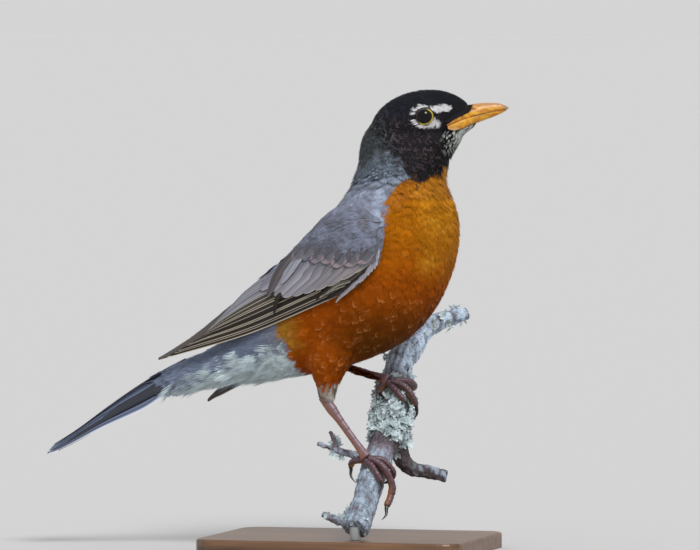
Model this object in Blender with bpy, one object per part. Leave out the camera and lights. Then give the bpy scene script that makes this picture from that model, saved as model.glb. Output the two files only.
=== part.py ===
"""American robin standing on a cut length of branch, life size, on a plain display stand.

The mid-plane of the trunk is the XZ plane, and the bird faces +X. The head is turned a little to the
bird's left (+Y). The origin is the centre of the underside of the base, which lies on the floor.
Lengths are written in millimetres and turned to metres as points are made.
"""

import math

import bmesh
import bpy
from mathutils import Vector
from mathutils.bvhtree import BVHTree

MM = 0.001

# Driving dimensions, in millimetres
SEAM = 0.3  # gap between pieces that touch
HEAD_TURN = math.radians(15)  # how far the head is turned from the trunk's mid-plane
HEAD_PITCH = math.radians(12)  # how far the bill points up
HEAD_CENTRE = Vector((31.5, 2.0, 196.5))
EYE_RADIUS = 4.5
EYE_SEAT = (2.9, 9.9, 0.6)  # eye centre ahead of, beside and above the head's centre
WING_DROOP = math.radians(12.3)  # the left wing hangs lower than the right
SHOULDER = Vector((15.0, 0.0, 150.0))
HEEL_RIGHT = Vector((-7.0, -12.5, 67.4))
HEEL_LEFT = Vector((-15.8, 13.0, 86.0))
TARSUS_RADIUS = 1.75
BASE_SIZE = (124.0, 92.0, 7.0)
BASE_CORNER = 10.0
ROD_RADIUS = 2.5

BODY_SIDES = 20  # corners round each body section
LIMB_SIDES = 8
CLAW_SIDES = 6


# ---------------------------------------------------------------- shared tools


def clear_scene():
    for obj in list(bpy.data.objects):
        bpy.data.objects.remove(obj)


def material(name, colour, roughness, metallic=0.0):
    made = bpy.data.materials.new(name)
    made.use_nodes = True
    shader = made.node_tree.nodes["Principled BSDF"]
    shader.inputs["Base Color"].default_value = (*colour, 1.0)
    shader.inputs["Roughness"].default_value = roughness
    shader.inputs["Metallic"].default_value = metallic
    return made


def hermite(a, b, c, d, t):
    """Catmull-Rom value between b and c."""
    return 0.5 * (
        2 * b + (c - a) * t + (2 * a - 5 * b + 4 * c - d) * t * t + (3 * b - a - 3 * c + d) * t ** 3
    )


def sample(rows, t):
    """A smooth value at t, from 0 to 1, through equally spaced rows of numbers or vectors."""
    place = min(max(t, 0.0), 1.0) * (len(rows) - 1)
    k = min(int(place), len(rows) - 2)
    before = rows[k - 1] if k > 0 else [2 * p - q for p, q in zip(rows[0], rows[1])]
    after = rows[k + 2] if k + 2 < len(rows) else [2 * p - q for p, q in zip(rows[-1], rows[-2])]
    return [hermite(*four, place - k) for four in zip(before, rows[k], rows[k + 1], after)]


def mesh_object(name, mesh, look):
    obj = bpy.data.objects.new(name, mesh)
    bpy.context.scene.collection.objects.link(obj)
    mesh.materials.clear()
    mesh.materials.append(look)
    mesh.shade_smooth()
    return obj


def loft_mesh(name, rings):
    """A closed mesh through rings of points in millimetres, each end closed by a fan to its middle."""
    work = bmesh.new()
    loops = [[work.verts.new(p * MM) for p in ring] for ring in rings]
    count = len(rings[0])
    for first, second in zip(loops, loops[1:]):
        for i in range(count):
            j = (i + 1) % count
            work.faces.new((first[i], first[j], second[j], second[i]))
    for ring, loop in ((rings[0], loops[0]), (rings[-1], loops[-1])):
        middle = work.verts.new(sum(ring, Vector()) / count * MM)
        for i in range(count):
            work.faces.new((loop[i], loop[(i + 1) % count], middle))
    bmesh.ops.recalc_face_normals(work, faces=work.faces)
    mesh = bpy.data.meshes.new(name)
    work.to_mesh(mesh)
    work.free()
    return mesh


def grown(mesh, by):
    """A copy of a mesh with its surface moved out by a distance in millimetres."""
    copy = mesh.copy()
    shifts = [vertex.normal.copy() for vertex in copy.vertices]
    for vertex, normal in zip(copy.vertices, shifts):
        vertex.co += normal * by * MM
    return copy


def cutter(name, mesh):
    obj = bpy.data.objects.new(name, mesh)
    bpy.context.scene.collection.objects.link(obj)
    obj.hide_render = True
    obj.display_type = "WIRE"
    return obj


def boolean(obj, other, operation):
    step = obj.modifiers.new(operation.lower(), "BOOLEAN")
    step.operation = operation
    step.object = other
    step.solver = "EXACT"
    return step


def evaluated_mesh(obj):
    graph = bpy.context.evaluated_depsgraph_get()
    return bpy.data.meshes.new_from_object(obj.evaluated_get(graph))


def half_mesh(mesh, point, normal):
    """The part of a closed mesh on the side of a plane that its normal points to, set back by half a seam."""
    work = bmesh.new()
    work.from_mesh(mesh)
    normal = normal.normalized()
    found = bmesh.ops.bisect_plane(
        work,
        geom=work.verts[:] + work.edges[:] + work.faces[:],
        plane_co=(point + normal * SEAM / 2) * MM,
        plane_no=normal,
        clear_inner=True,
    )
    rim = [e for e in found["geom_cut"] if isinstance(e, bmesh.types.BMEdge)]
    bmesh.ops.edgenet_fill(work, edges=rim)
    bmesh.ops.triangulate(work, faces=work.faces[:])
    bmesh.ops.recalc_face_normals(work, faces=work.faces)
    part = bpy.data.meshes.new(mesh.name)
    work.to_mesh(part)
    work.free()
    return part


# ---------------------------------------------------------------- head, neck and trunk


def head_axes():
    forward = Vector(
        (
            math.cos(HEAD_PITCH) * math.cos(HEAD_TURN),
            math.cos(HEAD_PITCH) * math.sin(HEAD_TURN),
            math.sin(HEAD_PITCH),
        )
    )
    left = Vector((-math.sin(HEAD_TURN), math.cos(HEAD_TURN), 0))
    return forward, left, forward.cross(left)


def in_head(forward, left, up):
    """A point given ahead of, to the left of and above the head's centre."""
    axes = head_axes()
    return HEAD_CENTRE + forward * axes[0] + left * axes[1] + up * axes[2]


def head_mesh():
    """Ahead, top, bottom and half width of each section, from the back of the head to the bill's base."""
    sections = (
        (-22.0, 0.0, -5.0, 3.5),
        (-20.0, 4.6, -9.5, 7.8),
        (-15.0, 8.9, -13.0, 10.6),
        (-8.0, 11.9, -15.0, 12.2),
        (-1.0, 12.9, -15.6, 12.6),
        (6.0, 12.6, -15.2, 12.0),
        (12.5, 10.9, -13.9, 9.9),
        (18.5, 7.6, -11.6, 6.9),
        (23.3, 2.9, -9.3, 4.7),
        (26.0, -1.0, -7.8, 3.0),
    )
    steps = 15
    rings = []
    for i in range(steps + 1):
        ahead, top, bottom, width = sample(sections, i / steps)
        ring = []
        for k in range(BODY_SIDES):
            angle = 2 * math.pi * k / BODY_SIDES
            up = (top + bottom) / 2 + (top - bottom) / 2 * math.cos(angle)
            ring.append(in_head(ahead, width * math.sin(angle), up))
        rings.append(ring)
    return loft_mesh("head", rings)


def body_section(middle, half, turn, width):
    """An oval section: half is its half depth in the mid-plane, turned about Z, and width its half width."""
    deep = Vector((half[0] * math.cos(turn), half[0] * math.sin(turn), half[1]))
    side = Vector((-math.sin(turn), math.cos(turn), 0)) * width
    return [
        middle + deep * math.cos(2 * math.pi * k / BODY_SIDES) + side * math.sin(2 * math.pi * k / BODY_SIDES)
        for k in range(BODY_SIDES)
    ]


def body_rings(sections, steps):
    """Each section gives its back and front points in the mid-plane (x, z, x, z), then its half width,
    its turn about Z and its shift to the left."""
    rings = []
    for i in range(steps + 1):
        xb, zb, xf, zf, width, turn, shift = sample(sections, i / steps)
        middle = Vector(((xb + xf) / 2, shift, (zb + zf) / 2))
        rings.append(body_section(middle, ((xf - xb) / 2, (zf - zb) / 2), turn, width))
    return rings


def trunk_mesh():
    sections = (
        (2.5, 173.0, 44.0, 171.0, 16.8, 0.13, 0.8),  # neck base
        (-1.5, 163.0, 49.0, 158.0, 23.5, 0.04, 0.0),  # shoulders
        (-11.5, 150.0, 51.2, 145.0, 28.3, 0.0, 0.0),
        (-23.0, 136.5, 48.8, 130.0, 30.8, 0.0, 0.0),  # deepest breast
        (-32.5, 122.5, 41.4, 112.5, 31.0, 0.0, 0.0),
        (-42.0, 111.0, 26.8, 96.0, 28.3, 0.0, 0.0),  # belly
        (-50.5, 102.0, 4.5, 85.8, 22.5, 0.0, 0.0),
        (-59.5, 95.5, -18.0, 80.0, 16.3, 0.0, 0.0),  # vent
        (-69.0, 90.0, -42.0, 76.3, 11.8, 0.0, 0.0),
        (-79.0, 86.0, -65.0, 73.4, 9.4, 0.0, 0.0),  # tail root
        (-89.5, 80.6, -83.0, 69.3, 7.8, 0.0, 0.0),  # end of the tail coverts
    )
    return loft_mesh("trunk", body_rings(sections, 24))


def neck_mesh():
    sections = (
        (0.0, 166.0, 45.0, 162.0, 18.5, 0.10, 0.5),
        (3.5, 175.0, 45.4, 172.6, 16.6, 0.15, 1.0),
        (4.6, 183.5, 47.6, 180.0, 15.0, 0.20, 1.6),
        (7.2, 191.0, 51.0, 186.0, 13.4, 0.25, 2.0),
        (14.0, 198.0, 52.0, 189.5, 9.8, 0.26, 2.0),
    )
    return loft_mesh("neck", body_rings(sections, 9))


def limb_rings(points, radii, steps, sides, flatten=1.0):
    """Rings round a smooth line through points; flatten scales their width along Y."""
    line = [Vector(sample(points, i / steps)) for i in range(steps + 1)]
    rings = []
    across = None
    for i, point in enumerate(line):
        along = (line[min(i + 1, steps)] - line[max(i - 1, 0)]).normalized()
        if across is None:
            across = along.orthogonal()
        across = (across - along * across.dot(along)).normalized()
        other = along.cross(across)
        radius = sample(radii, i / steps)[0]
        ring = []
        for k in range(sides):
            angle = 2 * math.pi * k / sides
            off = across * math.cos(angle) + other * math.sin(angle)
            off.y *= flatten
            ring.append(point + off * radius)
        rings.append(ring)
    return rings


def thigh_mesh(side):
    """The feathered shank, from inside the belly down to the heel."""
    if side == "right":
        line = (
            Vector((-8.0, -10.0, 108.0)),
            Vector((-6.8, -12.2, 97.0)),
            Vector((-6.6, -13.0, 86.0)),
            Vector((-7.2, -13.0, 76.5)),
            HEEL_RIGHT + Vector((-0.2, 0.0, 2.0)),
        )
        radii = ((12.5,), (13.0,), (10.6,), (5.2,), (3.6,))
    else:
        line = (
            Vector((-6.0, 13.0, 104.0)),
            Vector((-8.0, 13.6, 95.5)),
            Vector((-12.6, 13.4, 88.8)),
            HEEL_LEFT + Vector((1.2, 0.0, 0.8)),
        )
        radii = ((13.0,), (10.4,), (5.6,), (3.5,))
    return loft_mesh(f"thigh_{side}", limb_rings(line, radii, 8, 14))


def build_body(looks):
    """Head, neck, trunk, rump and thighs, parted by thin cuts. Returns the head and the uncut trunk."""
    trunk = trunk_mesh()
    whole = mesh_object("whole_body", trunk, looks["rust_plumage"])
    boolean(whole, cutter("neck_form", neck_mesh()), "UNION")
    boolean(whole, cutter("head_form", head_mesh()), "UNION")
    whole.hide_render = True
    whole.display_type = "WIRE"
    united = evaluated_mesh(whole)

    head_cut = (Vector((26.0, 2.0, 184.5)), Vector((0.10, 0.0, 1.0)))
    neck_cut = (Vector((22.0, 0.0, 171.5)), Vector((0.05, 0.0, 1.0)))
    rump_cut = (Vector((-53.0, 0.0, 86.0)), Vector((-1.0, 0.0, -0.55)))

    head = mesh_object("head", half_mesh(united, *head_cut), looks["black_plumage"])
    lower = half_mesh(united, head_cut[0], -head_cut[1])
    mesh_object("neck", half_mesh(lower, *neck_cut), looks["grey_plumage"])
    lower = half_mesh(lower, neck_cut[0], -neck_cut[1])
    mesh_object("rump", half_mesh(lower, *rump_cut), looks["white_plumage"])
    mesh_object("trunk", half_mesh(lower, rump_cut[0], -rump_cut[1]), looks["rust_plumage"])

    trunk_room = cutter("trunk_room", grown(trunk, SEAM + 0.05))
    for side in ("right", "left"):
        thigh = mesh_object(f"thigh_{side}", thigh_mesh(side), looks["rust_plumage"])
        boolean(thigh, trunk_room, "DIFFERENCE")
    return head, trunk


# ---------------------------------------------------------------- eyes and bill


def ball_mesh(name, middle, radius):
    work = bmesh.new()
    bmesh.ops.create_uvsphere(work, u_segments=16, v_segments=10, radius=radius * MM)
    bmesh.ops.translate(work, verts=work.verts, vec=middle * MM)
    mesh = bpy.data.meshes.new(name)
    work.to_mesh(mesh)
    work.free()
    return mesh


def build_eyes(head, looks):
    ahead, beside, above = EYE_SEAT
    for side, sign in (("right", -1), ("left", 1)):
        middle = in_head(ahead, sign * beside, above)
        mesh_object(f"eye_{side}", ball_mesh(f"eye_{side}", middle, EYE_RADIUS), looks["eye"])
        socket = cutter(f"socket_{side}", ball_mesh("socket", middle, EYE_RADIUS + SEAM))
        boolean(head, socket, "DIFFERENCE")


def bill_mesh(name, sections, ridge):
    """Half a bill. Each section gives its place ahead, top, bottom and half width. ridge is +1 where the
    keel is on top, and -1 where it is below."""
    sides = 10
    steps = 10
    rings = []
    for i in range(steps + 1):
        ahead, top, bottom, width = sample(sections, i / steps)
        edge, keel = (bottom, top) if ridge > 0 else (top, bottom)
        ring = []
        for k in range(sides):
            angle = math.pi * k / (sides - 1) - math.pi / 2
            left = width * math.sin(angle)
            up = edge + (keel - edge) * max(math.cos(angle), 0.0) ** 0.8
            ring.append(in_head(ahead, left, up))
        rings.append(ring)
    return loft_mesh(name, rings)


def build_bill(head, looks):
    upper = (
        (12.0, -4.9, -5.7, 9.7),
        (15.2, -3.4, -4.9, 8.4),
        (19.4, -0.9, -4.2, 5.9),
        (24.0, 1.2, -3.8, 3.9),
        (28.5, 1.1, -3.6, 2.9),
        (33.2, 0.3, -3.5, 2.1),
        (37.6, -0.9, -3.5, 1.3),
        (41.0, -3.1, -3.9, 0.45),
    )
    lower = (
        (12.2, -6.1, -7.4, 9.5),
        (15.2, -5.4, -8.9, 8.0),
        (19.4, -4.6, -8.5, 5.7),
        (24.0, -4.2, -7.6, 3.6),
        (28.5, -4.0, -6.9, 2.6),
        (33.0, -3.9, -6.2, 1.85),
        (37.0, -3.9, -5.4, 1.1),
        (40.0, -4.0, -4.5, 0.4),
    )
    for name, sections, ridge in (("bill_upper", upper, 1), ("bill_lower", lower, -1)):
        mesh = bill_mesh(name, sections, ridge)
        mesh_object(name, mesh, looks["bill"])
        boolean(head, cutter(f"{name}_room", grown(mesh, SEAM + 0.1)), "DIFFERENCE")


# ---------------------------------------------------------------- tail


def build_tail(looks):
    """The closed tail: feathers stacked like a shallow roof, from the end of the coverts to the tip.
    Sections give x, ridge height, edge height, half width and thickness."""
    sections = (
        (-89.5, 80.6, 70.0, 8.4, 2.6),
        (-104.0, 71.6, 62.5, 9.6, 2.3),
        (-117.0, 62.6, 55.9, 10.6, 2.0),
        (-130.0, 53.2, 48.4, 11.4, 1.7),
        (-142.5, 45.4, 41.8, 11.6, 1.2),
    )
    steps = 8
    across = 10
    rings = []
    for i in range(steps + 1):
        x, ridge, edge, width, thick = sample(sections, i / steps)
        outer = []
        inner = []
        for k in range(across + 1):
            share = 2 * k / across - 1
            drop = (ridge - edge) * abs(share) ** 1.35
            slant = 0.575 * (1 - i / steps)  # the root is cut like the end of the coverts
            outer.append(Vector((x + slant * drop, width * share, ridge - drop)))
            inner.append(Vector((x + slant * (drop + thick), (width - 0.4) * share, ridge - thick - drop)))
        rings.append(outer + inner[::-1])
    mesh_object("tail", loft_mesh("tail", rings), looks["grey_plumage"])


# ---------------------------------------------------------------- wings


def wing_edges(droop):
    """Upper and lower edge of the folded wing in the side view, from its bend to its tip."""
    upper = (
        (22.5, 151.5),
        (8.0, 158.0),
        (-11.0, 150.8),
        (-28.5, 135.4),
        (-42.5, 122.8),
        (-56.5, 110.3),
        (-71.0, 98.0),
        (-87.6, 87.3),
    )
    lower = (
        (24.2, 149.0),
        (20.2, 131.5),
        (8.3, 118.9),
        (-11.0, 110.4),
        (-29.8, 103.3),
        (-48.6, 97.0),
        (-68.0, 91.4),
        (-87.2, 86.2),
    )
    turned = []
    for edge in (upper, lower):
        rows = []
        for x, z in edge:
            dx, dz = x - SHOULDER.x, z - SHOULDER.z
            rows.append(
                (
                    SHOULDER.x + dx * math.cos(droop) - dz * math.sin(droop),
                    SHOULDER.z + dx * math.sin(droop) + dz * math.cos(droop),
                )
            )
        turned.append(rows)
    return turned


def wing_mesh(side, body, droop):
    """A folded wing as a thin curved solid that lies on the body. body is a BVH tree of what it rests on."""
    sign = -1 if side == "right" else 1
    along, over = 16, 7
    upper, lower = wing_edges(droop)
    clear = 1.1  # room between the wing and the body
    grid, floor = [], []
    for i in range(along + 1):
        s = i / along
        top, bottom = sample(upper, s), sample(lower, s)
        edge_top = 12.0 - 5.5 * math.sin(math.pi * min(s * 1.25, 1.0)) - 2.5 * s
        edge_low = 26.0 * (1 - s) ** 0.8 + 8.6 * s
        row, low = [], []
        for j in range(over + 1):
            t = j / over
            x, z = (top[0] * (1 - t) + bottom[0] * t, top[1] * (1 - t) + bottom[1] * t)
            start = Vector((x, sign * 80.0, z)) * MM
            hit = body.ray_cast(start, Vector((0, -sign, 0)))[0]
            bound = abs(hit.y) / MM + clear if hit else 0.0
            default = edge_top * (1 - t) + edge_low * t + 2.5 * math.sin(math.pi * t) * (1 - s)
            row.append(max(default, bound))
            low.append((x, z, bound))
        grid.append(row)
        floor.append(low)
    for _ in range(6):
        smooth = [list(row) for row in grid]
        for i in range(along + 1):
            for j in range(over + 1):
                near = [
                    grid[a][b]
                    for a, b in ((i - 1, j), (i + 1, j), (i, j - 1), (i, j + 1))
                    if 0 <= a <= along and 0 <= b <= over
                ]
                smooth[i][j] = max((grid[i][j] + sum(near) / len(near)) / 2, floor[i][j][2])
        grid = smooth
    rings = []
    for i in range(along + 1):
        s = i / along
        outer, inner = [], []
        for j in range(over + 1):
            t = j / over
            x, z, _ = floor[i][j]
            swell = (4.2 * (1 - s) ** 1.3 + 1.2) * min((s + 0.02) / 0.16, 1.0) ** 0.5
            thick = 1.0 + swell * math.sin(math.pi * t) ** 0.6
            outer.append(Vector((x, sign * (grid[i][j] + thick), z)))
            inner.append(Vector((x, sign * grid[i][j], z)))
        rings.append(outer + inner[::-1])
    return loft_mesh(f"wing_{side}", rings)


def build_wings(trunk, looks):
    parts = [trunk, thigh_mesh("right"), thigh_mesh("left"), bpy.data.objects["tail"].data]
    points, faces = [], []
    for mesh in parts:
        base = len(points)
        points += [vertex.co.copy() for vertex in mesh.vertices]
        faces += [[base + v for v in polygon.vertices] for polygon in mesh.polygons]
    body = BVHTree.FromPolygons(points, faces)
    for side, droop in (("right", 0.0), ("left", WING_DROOP)):
        mesh_object(f"wing_{side}", wing_mesh(side, body, droop), looks["grey_plumage"])


# ---------------------------------------------------------------- perch


PERCH_LINE = (
    Vector((10.8, -31.3, 12.0)),
    Vector((12.5, -21.5, 22.5)),
    Vector((13.3, -12.0, 33.5)),
    Vector((14.7, -2.3, 44.0)),
    Vector((16.6, 6.0, 54.0)),
    Vector((16.6, 13.8, 64.0)),
    Vector((16.0, 21.5, 74.0)),
    Vector((15.2, 30.0, 84.0)),
    Vector((19.0, 37.6, 92.5)),
    Vector((22.2, 44.7, 99.0)),
    Vector((29.5, 52.4, 103.0)),
    Vector((39.5, 61.3, 106.2)),
)
PERCH_RADII = ((6.4,), (5.7,), (6.0,), (6.4,), (7.4,), (8.8,), (6.9,), (6.2,), (6.6,), (5.2,), (3.9,), (2.9,))
PERCH_STEPS = 20
PERCH_SIDES = 12


def perch_point(share):
    """Centre, direction and radius of the branch, share of the way from its lower cut end to its upper one."""
    step = 0.002
    centre = Vector(sample(PERCH_LINE, share))
    ahead = Vector(sample(PERCH_LINE, min(share + step, 1.0)))
    behind = Vector(sample(PERCH_LINE, max(share - step, 0.0)))
    return centre, (ahead - behind).normalized(), sample(PERCH_RADII, share)[0]


def build_perch(looks):
    form = loft_mesh("perch_branch", limb_rings(PERCH_LINE, PERCH_RADII, PERCH_STEPS, PERCH_SIDES))
    branch = mesh_object("perch_branch", form, looks["bark"])
    fork = (
        Vector((17.8, 8.9, 56.0)),
        Vector((19.4, 12.5, 47.0)),
        Vector((21.1, 16.0, 39.5)),
        Vector((26.4, 19.5, 36.0)),
        Vector((32.7, 22.7, 34.8)),
        Vector((38.6, 25.9, 33.0)),
    )
    twig = (
        Vector((11.2, -3.2, 43.0)),
        Vector((5.5, -5.2, 43.6)),
        Vector((-0.1, -7.3, 45.0)),
        Vector((-6.3, -9.4, 47.0)),
        Vector((-12.2, -11.6, 49.3)),
    )
    prong = (
        Vector((-3.8, -8.6, 46.5)),
        Vector((-5.5, -9.0, 51.2)),
        Vector((-7.1, -9.5, 55.0)),
    )
    spur = (
        Vector((9.0, -28.0, 15.5)),
        Vector((2.5, -30.5, 15.8)),
        Vector((-4.5, -32.0, 18.6)),
    )
    stubs = (
        ("perch_fork", fork, ((4.8,), (4.6,), (4.0,), (3.4,), (3.2,), (3.1,)), 8, 10),
        ("perch_twig", twig, ((2.6,), (2.2,), (1.9,), (1.4,), (1.1,)), 7, 6),
        ("perch_prong", prong, ((1.4,), (1.5,), (1.25,)), 3, 6),
        ("perch_spur", spur, ((2.6,), (2.3,), (1.7,)), 4, 8),
    )
    for name, line, radii, steps, sides in stubs:
        boolean(branch, cutter(name, loft_mesh(name, limb_rings(line, radii, steps, sides))), "UNION")


# ---------------------------------------------------------------- legs and feet


def on_branch(share, around, off):
    """A point off the branch's surface. around is the angle from its upper side, + towards +X."""
    centre, along, radius = perch_point(share)
    up = (Vector((0, 0, 1)) - along * along.z).normalized()
    side = along.cross(up)
    if side.x < 0:
        side = -side
    return centre + (up * math.cos(around) + side * math.sin(around)) * (radius + off)


# Where each foot grips. Every point is (share along the branch, degrees round it, height over the bark).
# Toe 1 is the hind toe and toe 3 the longest front one. The last number of a toe is its thickness.
FEET = {
    "right": {
        "pad": (0.212, -6.0, 2.7),
        "toes": {
            1: (((0.212, -22, 1.9), (0.214, -44, 3.2), (0.216, -62, 4.5), (0.213, -74, 5.1)), 1.3),
            2: (((0.203, -6, 1.8), (0.192, 14, 1.9), (0.171, 36, 2.0), (0.157, 60, 1.7)), 1.25),
            3: (((0.211, 16, 1.9), (0.196, 54, 2.6), (0.166, 98, 4.4), (0.134, 113, 4.6), (0.106, 114, 4.2)), 1.4),
            4: (((0.222, 38, 1.8), (0.218, 64, 2.2), (0.213, 96, 3.0), (0.211, 128, 2.6)), 1.25),
        },
        "claws": {
            1: ((0.208, -81, 4.7), (0.186, -84, 3.9), (0.168, -95, 1.2)),
            2: ((0.151, 68, 1.6), (0.139, 73, 1.7), (0.121, 63, 0.9)),
            3: ((0.098, 116, 4.4), (0.083, 120, 5.0), (0.062, 122, 3.8)),
            4: ((0.209, 138, 2.3), (0.206, 152, 1.9), (0.200, 166, 0.9)),
        },
    },
    "left": {
        "pad": (0.520, -9.0, 2.7),
        "toes": {
            1: (((0.510, -28, 1.9), (0.497, -36, 1.9), (0.478, -33, 1.9), (0.468, -28, 1.8)), 1.3),
            2: (((0.506, -8, 1.8), (0.488, 6, 2.0), (0.464, 24, 2.0), (0.450, 42, 1.7)), 1.25),
            3: (((0.514, 13, 1.8), (0.503, 38, 1.9), (0.480, 64, 2.0), (0.466, 86, 1.9)), 1.4),
            4: (((0.531, 34, 1.7), (0.541, 58, 1.7), (0.549, 90, 1.6), (0.556, 118, 1.6)), 1.25),
        },
        "claws": {
            1: ((0.460, -22, 1.6), (0.446, -12, 1.7), (0.431, -2, 0.8)),
            2: ((0.444, 49, 1.6), (0.431, 56, 1.7), (0.414, 58, 0.8)),
            3: ((0.461, 97, 2.0), (0.448, 106, 2.2), (0.430, 112, 1.0)),
            4: ((0.558, 128, 1.6), (0.558, 142, 1.7), (0.554, 156, 0.8)),
        },
    },
}


def grip_line(points):
    return [on_branch(share, math.radians(degrees), height) for share, degrees, height in points]


def build_leg(side, heel, looks):
    """The bare shank, then each toe parted from it, then each claw set on its toe's end."""
    foot = FEET[side]
    pad = grip_line([foot["pad"]])[0]
    reach = (pad - heel).normalized()
    line = [heel, heel.lerp(pad, 0.33), heel.lerp(pad, 0.66), pad - reach * 0.6]
    radii = ((2.5,), (TARSUS_RADIUS,), (TARSUS_RADIUS,), (2.2,))
    shank = mesh_object(
        f"tarsus_{side}", loft_mesh("tarsus", limb_rings(line, radii, 8, LIMB_SIDES)), looks["leg"]
    )
    boolean(shank, bpy.data.objects["trunk_room"], "DIFFERENCE")
    room = grown(evaluated_mesh(bpy.data.objects[f"thigh_{side}"]), SEAM)
    boolean(shank, cutter(f"thigh_{side}_room", room), "DIFFERENCE")
    shank_room = cutter(f"tarsus_{side}_room", grown(shank.data, SEAM + 0.05))

    for number, (points, thick) in foot["toes"].items():
        radii = ((thick,), (thick * 0.92,), (thick * 0.86,), (thick * 0.62,))
        form = loft_mesh("toe", limb_rings(grip_line(points), radii, 9, LIMB_SIDES))
        toe = mesh_object(f"toe_{side}_{number}", form, looks["leg"])
        boolean(toe, shank_room, "DIFFERENCE")
        hook = limb_rings(grip_line(foot["claws"][number]), ((0.95,), (0.62,), (0.16,)), 6, CLAW_SIDES)
        claw = mesh_object(f"claw_{side}_{number}", loft_mesh("claw", hook), looks["claw"])
        toe_room = cutter(f"toe_{side}_{number}_room", grown(form, SEAM))
        boolean(claw, toe_room, "DIFFERENCE")


# ---------------------------------------------------------------- stand


def build_stand(looks):
    """A flat base with rounded corners, and a steel pin up into the branch's cut end."""
    work = bmesh.new()
    bmesh.ops.create_cube(work, size=1.0)
    length, width, height = (side * MM for side in BASE_SIZE)
    bmesh.ops.scale(work, verts=work.verts, vec=(length, width, height))
    bmesh.ops.translate(work, verts=work.verts, vec=(0, 0, height / 2))
    upright = [e for e in work.edges if abs(e.verts[0].co.z - e.verts[1].co.z) > height / 2]
    bmesh.ops.bevel(work, geom=upright, offset=BASE_CORNER * MM, segments=5, affect="EDGES", profile=0.5)
    rim = [e for e in work.edges if all(abs(v.co.z - height) < MM * 0.01 for v in e.verts)]
    bmesh.ops.bevel(work, geom=rim, offset=1.0 * MM, segments=2, affect="EDGES", profile=0.5)
    mesh = bpy.data.meshes.new("stand_base")
    work.to_mesh(mesh)
    work.free()
    mesh_object("stand_base", mesh, looks["base_wood"])

    foot = PERCH_LINE[0]
    low = Vector((foot.x, foot.y, BASE_SIZE[2] + SEAM))
    high = Vector((foot.x, foot.y, 13.0))
    pin = loft_mesh("stand_rod", limb_rings((low, high), ((ROD_RADIUS,), (ROD_RADIUS,)), 2, 16))
    rod = mesh_object("stand_rod", pin, looks["steel"])
    grown_radii = tuple((radius + SEAM,) for (radius,) in PERCH_RADII)
    room = loft_mesh("perch_room", limb_rings(PERCH_LINE, grown_radii, PERCH_STEPS, PERCH_SIDES))
    boolean(rod, cutter("perch_room", room), "DIFFERENCE")


def main():
    clear_scene()
    looks = {
        "black_plumage": material("black_plumage", (0.02, 0.018, 0.02), 0.7),
        "grey_plumage": material("grey_plumage", (0.16, 0.15, 0.15), 0.7),
        "rust_plumage": material("rust_plumage", (0.5, 0.14, 0.015), 0.75),
        "white_plumage": material("white_plumage", (0.62, 0.63, 0.6), 0.8),
        "bill": material("bill", (0.8, 0.42, 0.04), 0.35),
        "eye": material("eye", (0.012, 0.008, 0.006), 0.05),
        "leg": material("leg", (0.16, 0.07, 0.045), 0.45),
        "claw": material("claw", (0.015, 0.012, 0.012), 0.35),
        "bark": material("bark", (0.22, 0.2, 0.19), 0.9),
        "steel": material("steel", (0.55, 0.55, 0.56), 0.3, 1.0),
        "base_wood": material("base_wood", (0.16, 0.09, 0.05), 0.4),
    }
    head, trunk = build_body(looks)
    build_eyes(head, looks)
    build_bill(head, looks)
    build_tail(looks)
    build_wings(trunk, looks)
    build_perch(looks)
    build_leg("right", HEEL_RIGHT, looks)
    build_leg("left", HEEL_LEFT, looks)
    build_stand(looks)


main()
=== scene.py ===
import math

import bpy
import numpy as np
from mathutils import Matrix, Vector
from mathutils.bvhtree import BVHTree


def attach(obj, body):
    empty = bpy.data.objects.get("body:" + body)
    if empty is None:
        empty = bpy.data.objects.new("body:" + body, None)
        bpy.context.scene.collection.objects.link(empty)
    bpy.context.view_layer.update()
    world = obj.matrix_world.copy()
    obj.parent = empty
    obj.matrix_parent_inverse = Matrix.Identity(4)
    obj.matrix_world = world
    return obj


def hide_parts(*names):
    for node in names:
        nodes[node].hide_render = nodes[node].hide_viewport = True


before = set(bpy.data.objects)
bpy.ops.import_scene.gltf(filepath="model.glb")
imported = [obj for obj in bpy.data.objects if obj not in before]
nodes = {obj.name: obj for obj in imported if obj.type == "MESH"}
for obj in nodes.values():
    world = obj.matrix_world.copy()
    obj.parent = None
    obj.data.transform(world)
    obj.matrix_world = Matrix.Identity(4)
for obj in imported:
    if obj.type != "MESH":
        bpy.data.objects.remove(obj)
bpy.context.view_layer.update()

scene = bpy.context.scene


# ---------------------------------------------------------------- skin
# The skin of a mounted robin is thin and follows the flesh closely. One closed skin covers head, neck,
# trunk, rump and both feathered shanks, and lies under the coat by the depth of its feathers.

MM = 0.001
HEAD_CENTRE = np.array((31.5, 2.0, 196.5))
HEAD_TURN, HEAD_PITCH = math.radians(15), math.radians(12)
level = math.cos(HEAD_PITCH)
AHEAD = np.array((level * math.cos(HEAD_TURN), level * math.sin(HEAD_TURN), math.sin(HEAD_PITCH)))
BESIDE = np.array((-math.sin(HEAD_TURN), math.cos(HEAD_TURN), 0.0))  # to the bird's left
ABOVE = np.cross(AHEAD, BESIDE)
HEELS = np.array(((-7.0, -12.5, 67.4), (-15.8, 13.0, 86.0)))
EYE_SEAT = (2.9, 9.9, 0.6)  # ahead of, beside and above the head's centre
EYE_RADIUS = 4.5


def in_head(ahead, beside, above):
    """Points given from the head's centre, in millimetres."""
    parts = [np.asarray(part, float)[..., None] for part in (ahead, beside, above)]
    return HEAD_CENTRE + parts[0] * AHEAD + parts[1] * BESIDE + parts[2] * ABOVE


def head_places(points):
    """How far points are ahead of, to the left of and above the head's centre."""
    off = points - HEAD_CENTRE
    return off @ AHEAD, off @ BESIDE, off @ ABOVE


EYES = np.array([in_head(EYE_SEAT[0], sign * EYE_SEAT[1], EYE_SEAT[2]) for sign in (-1, 1)])


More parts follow.
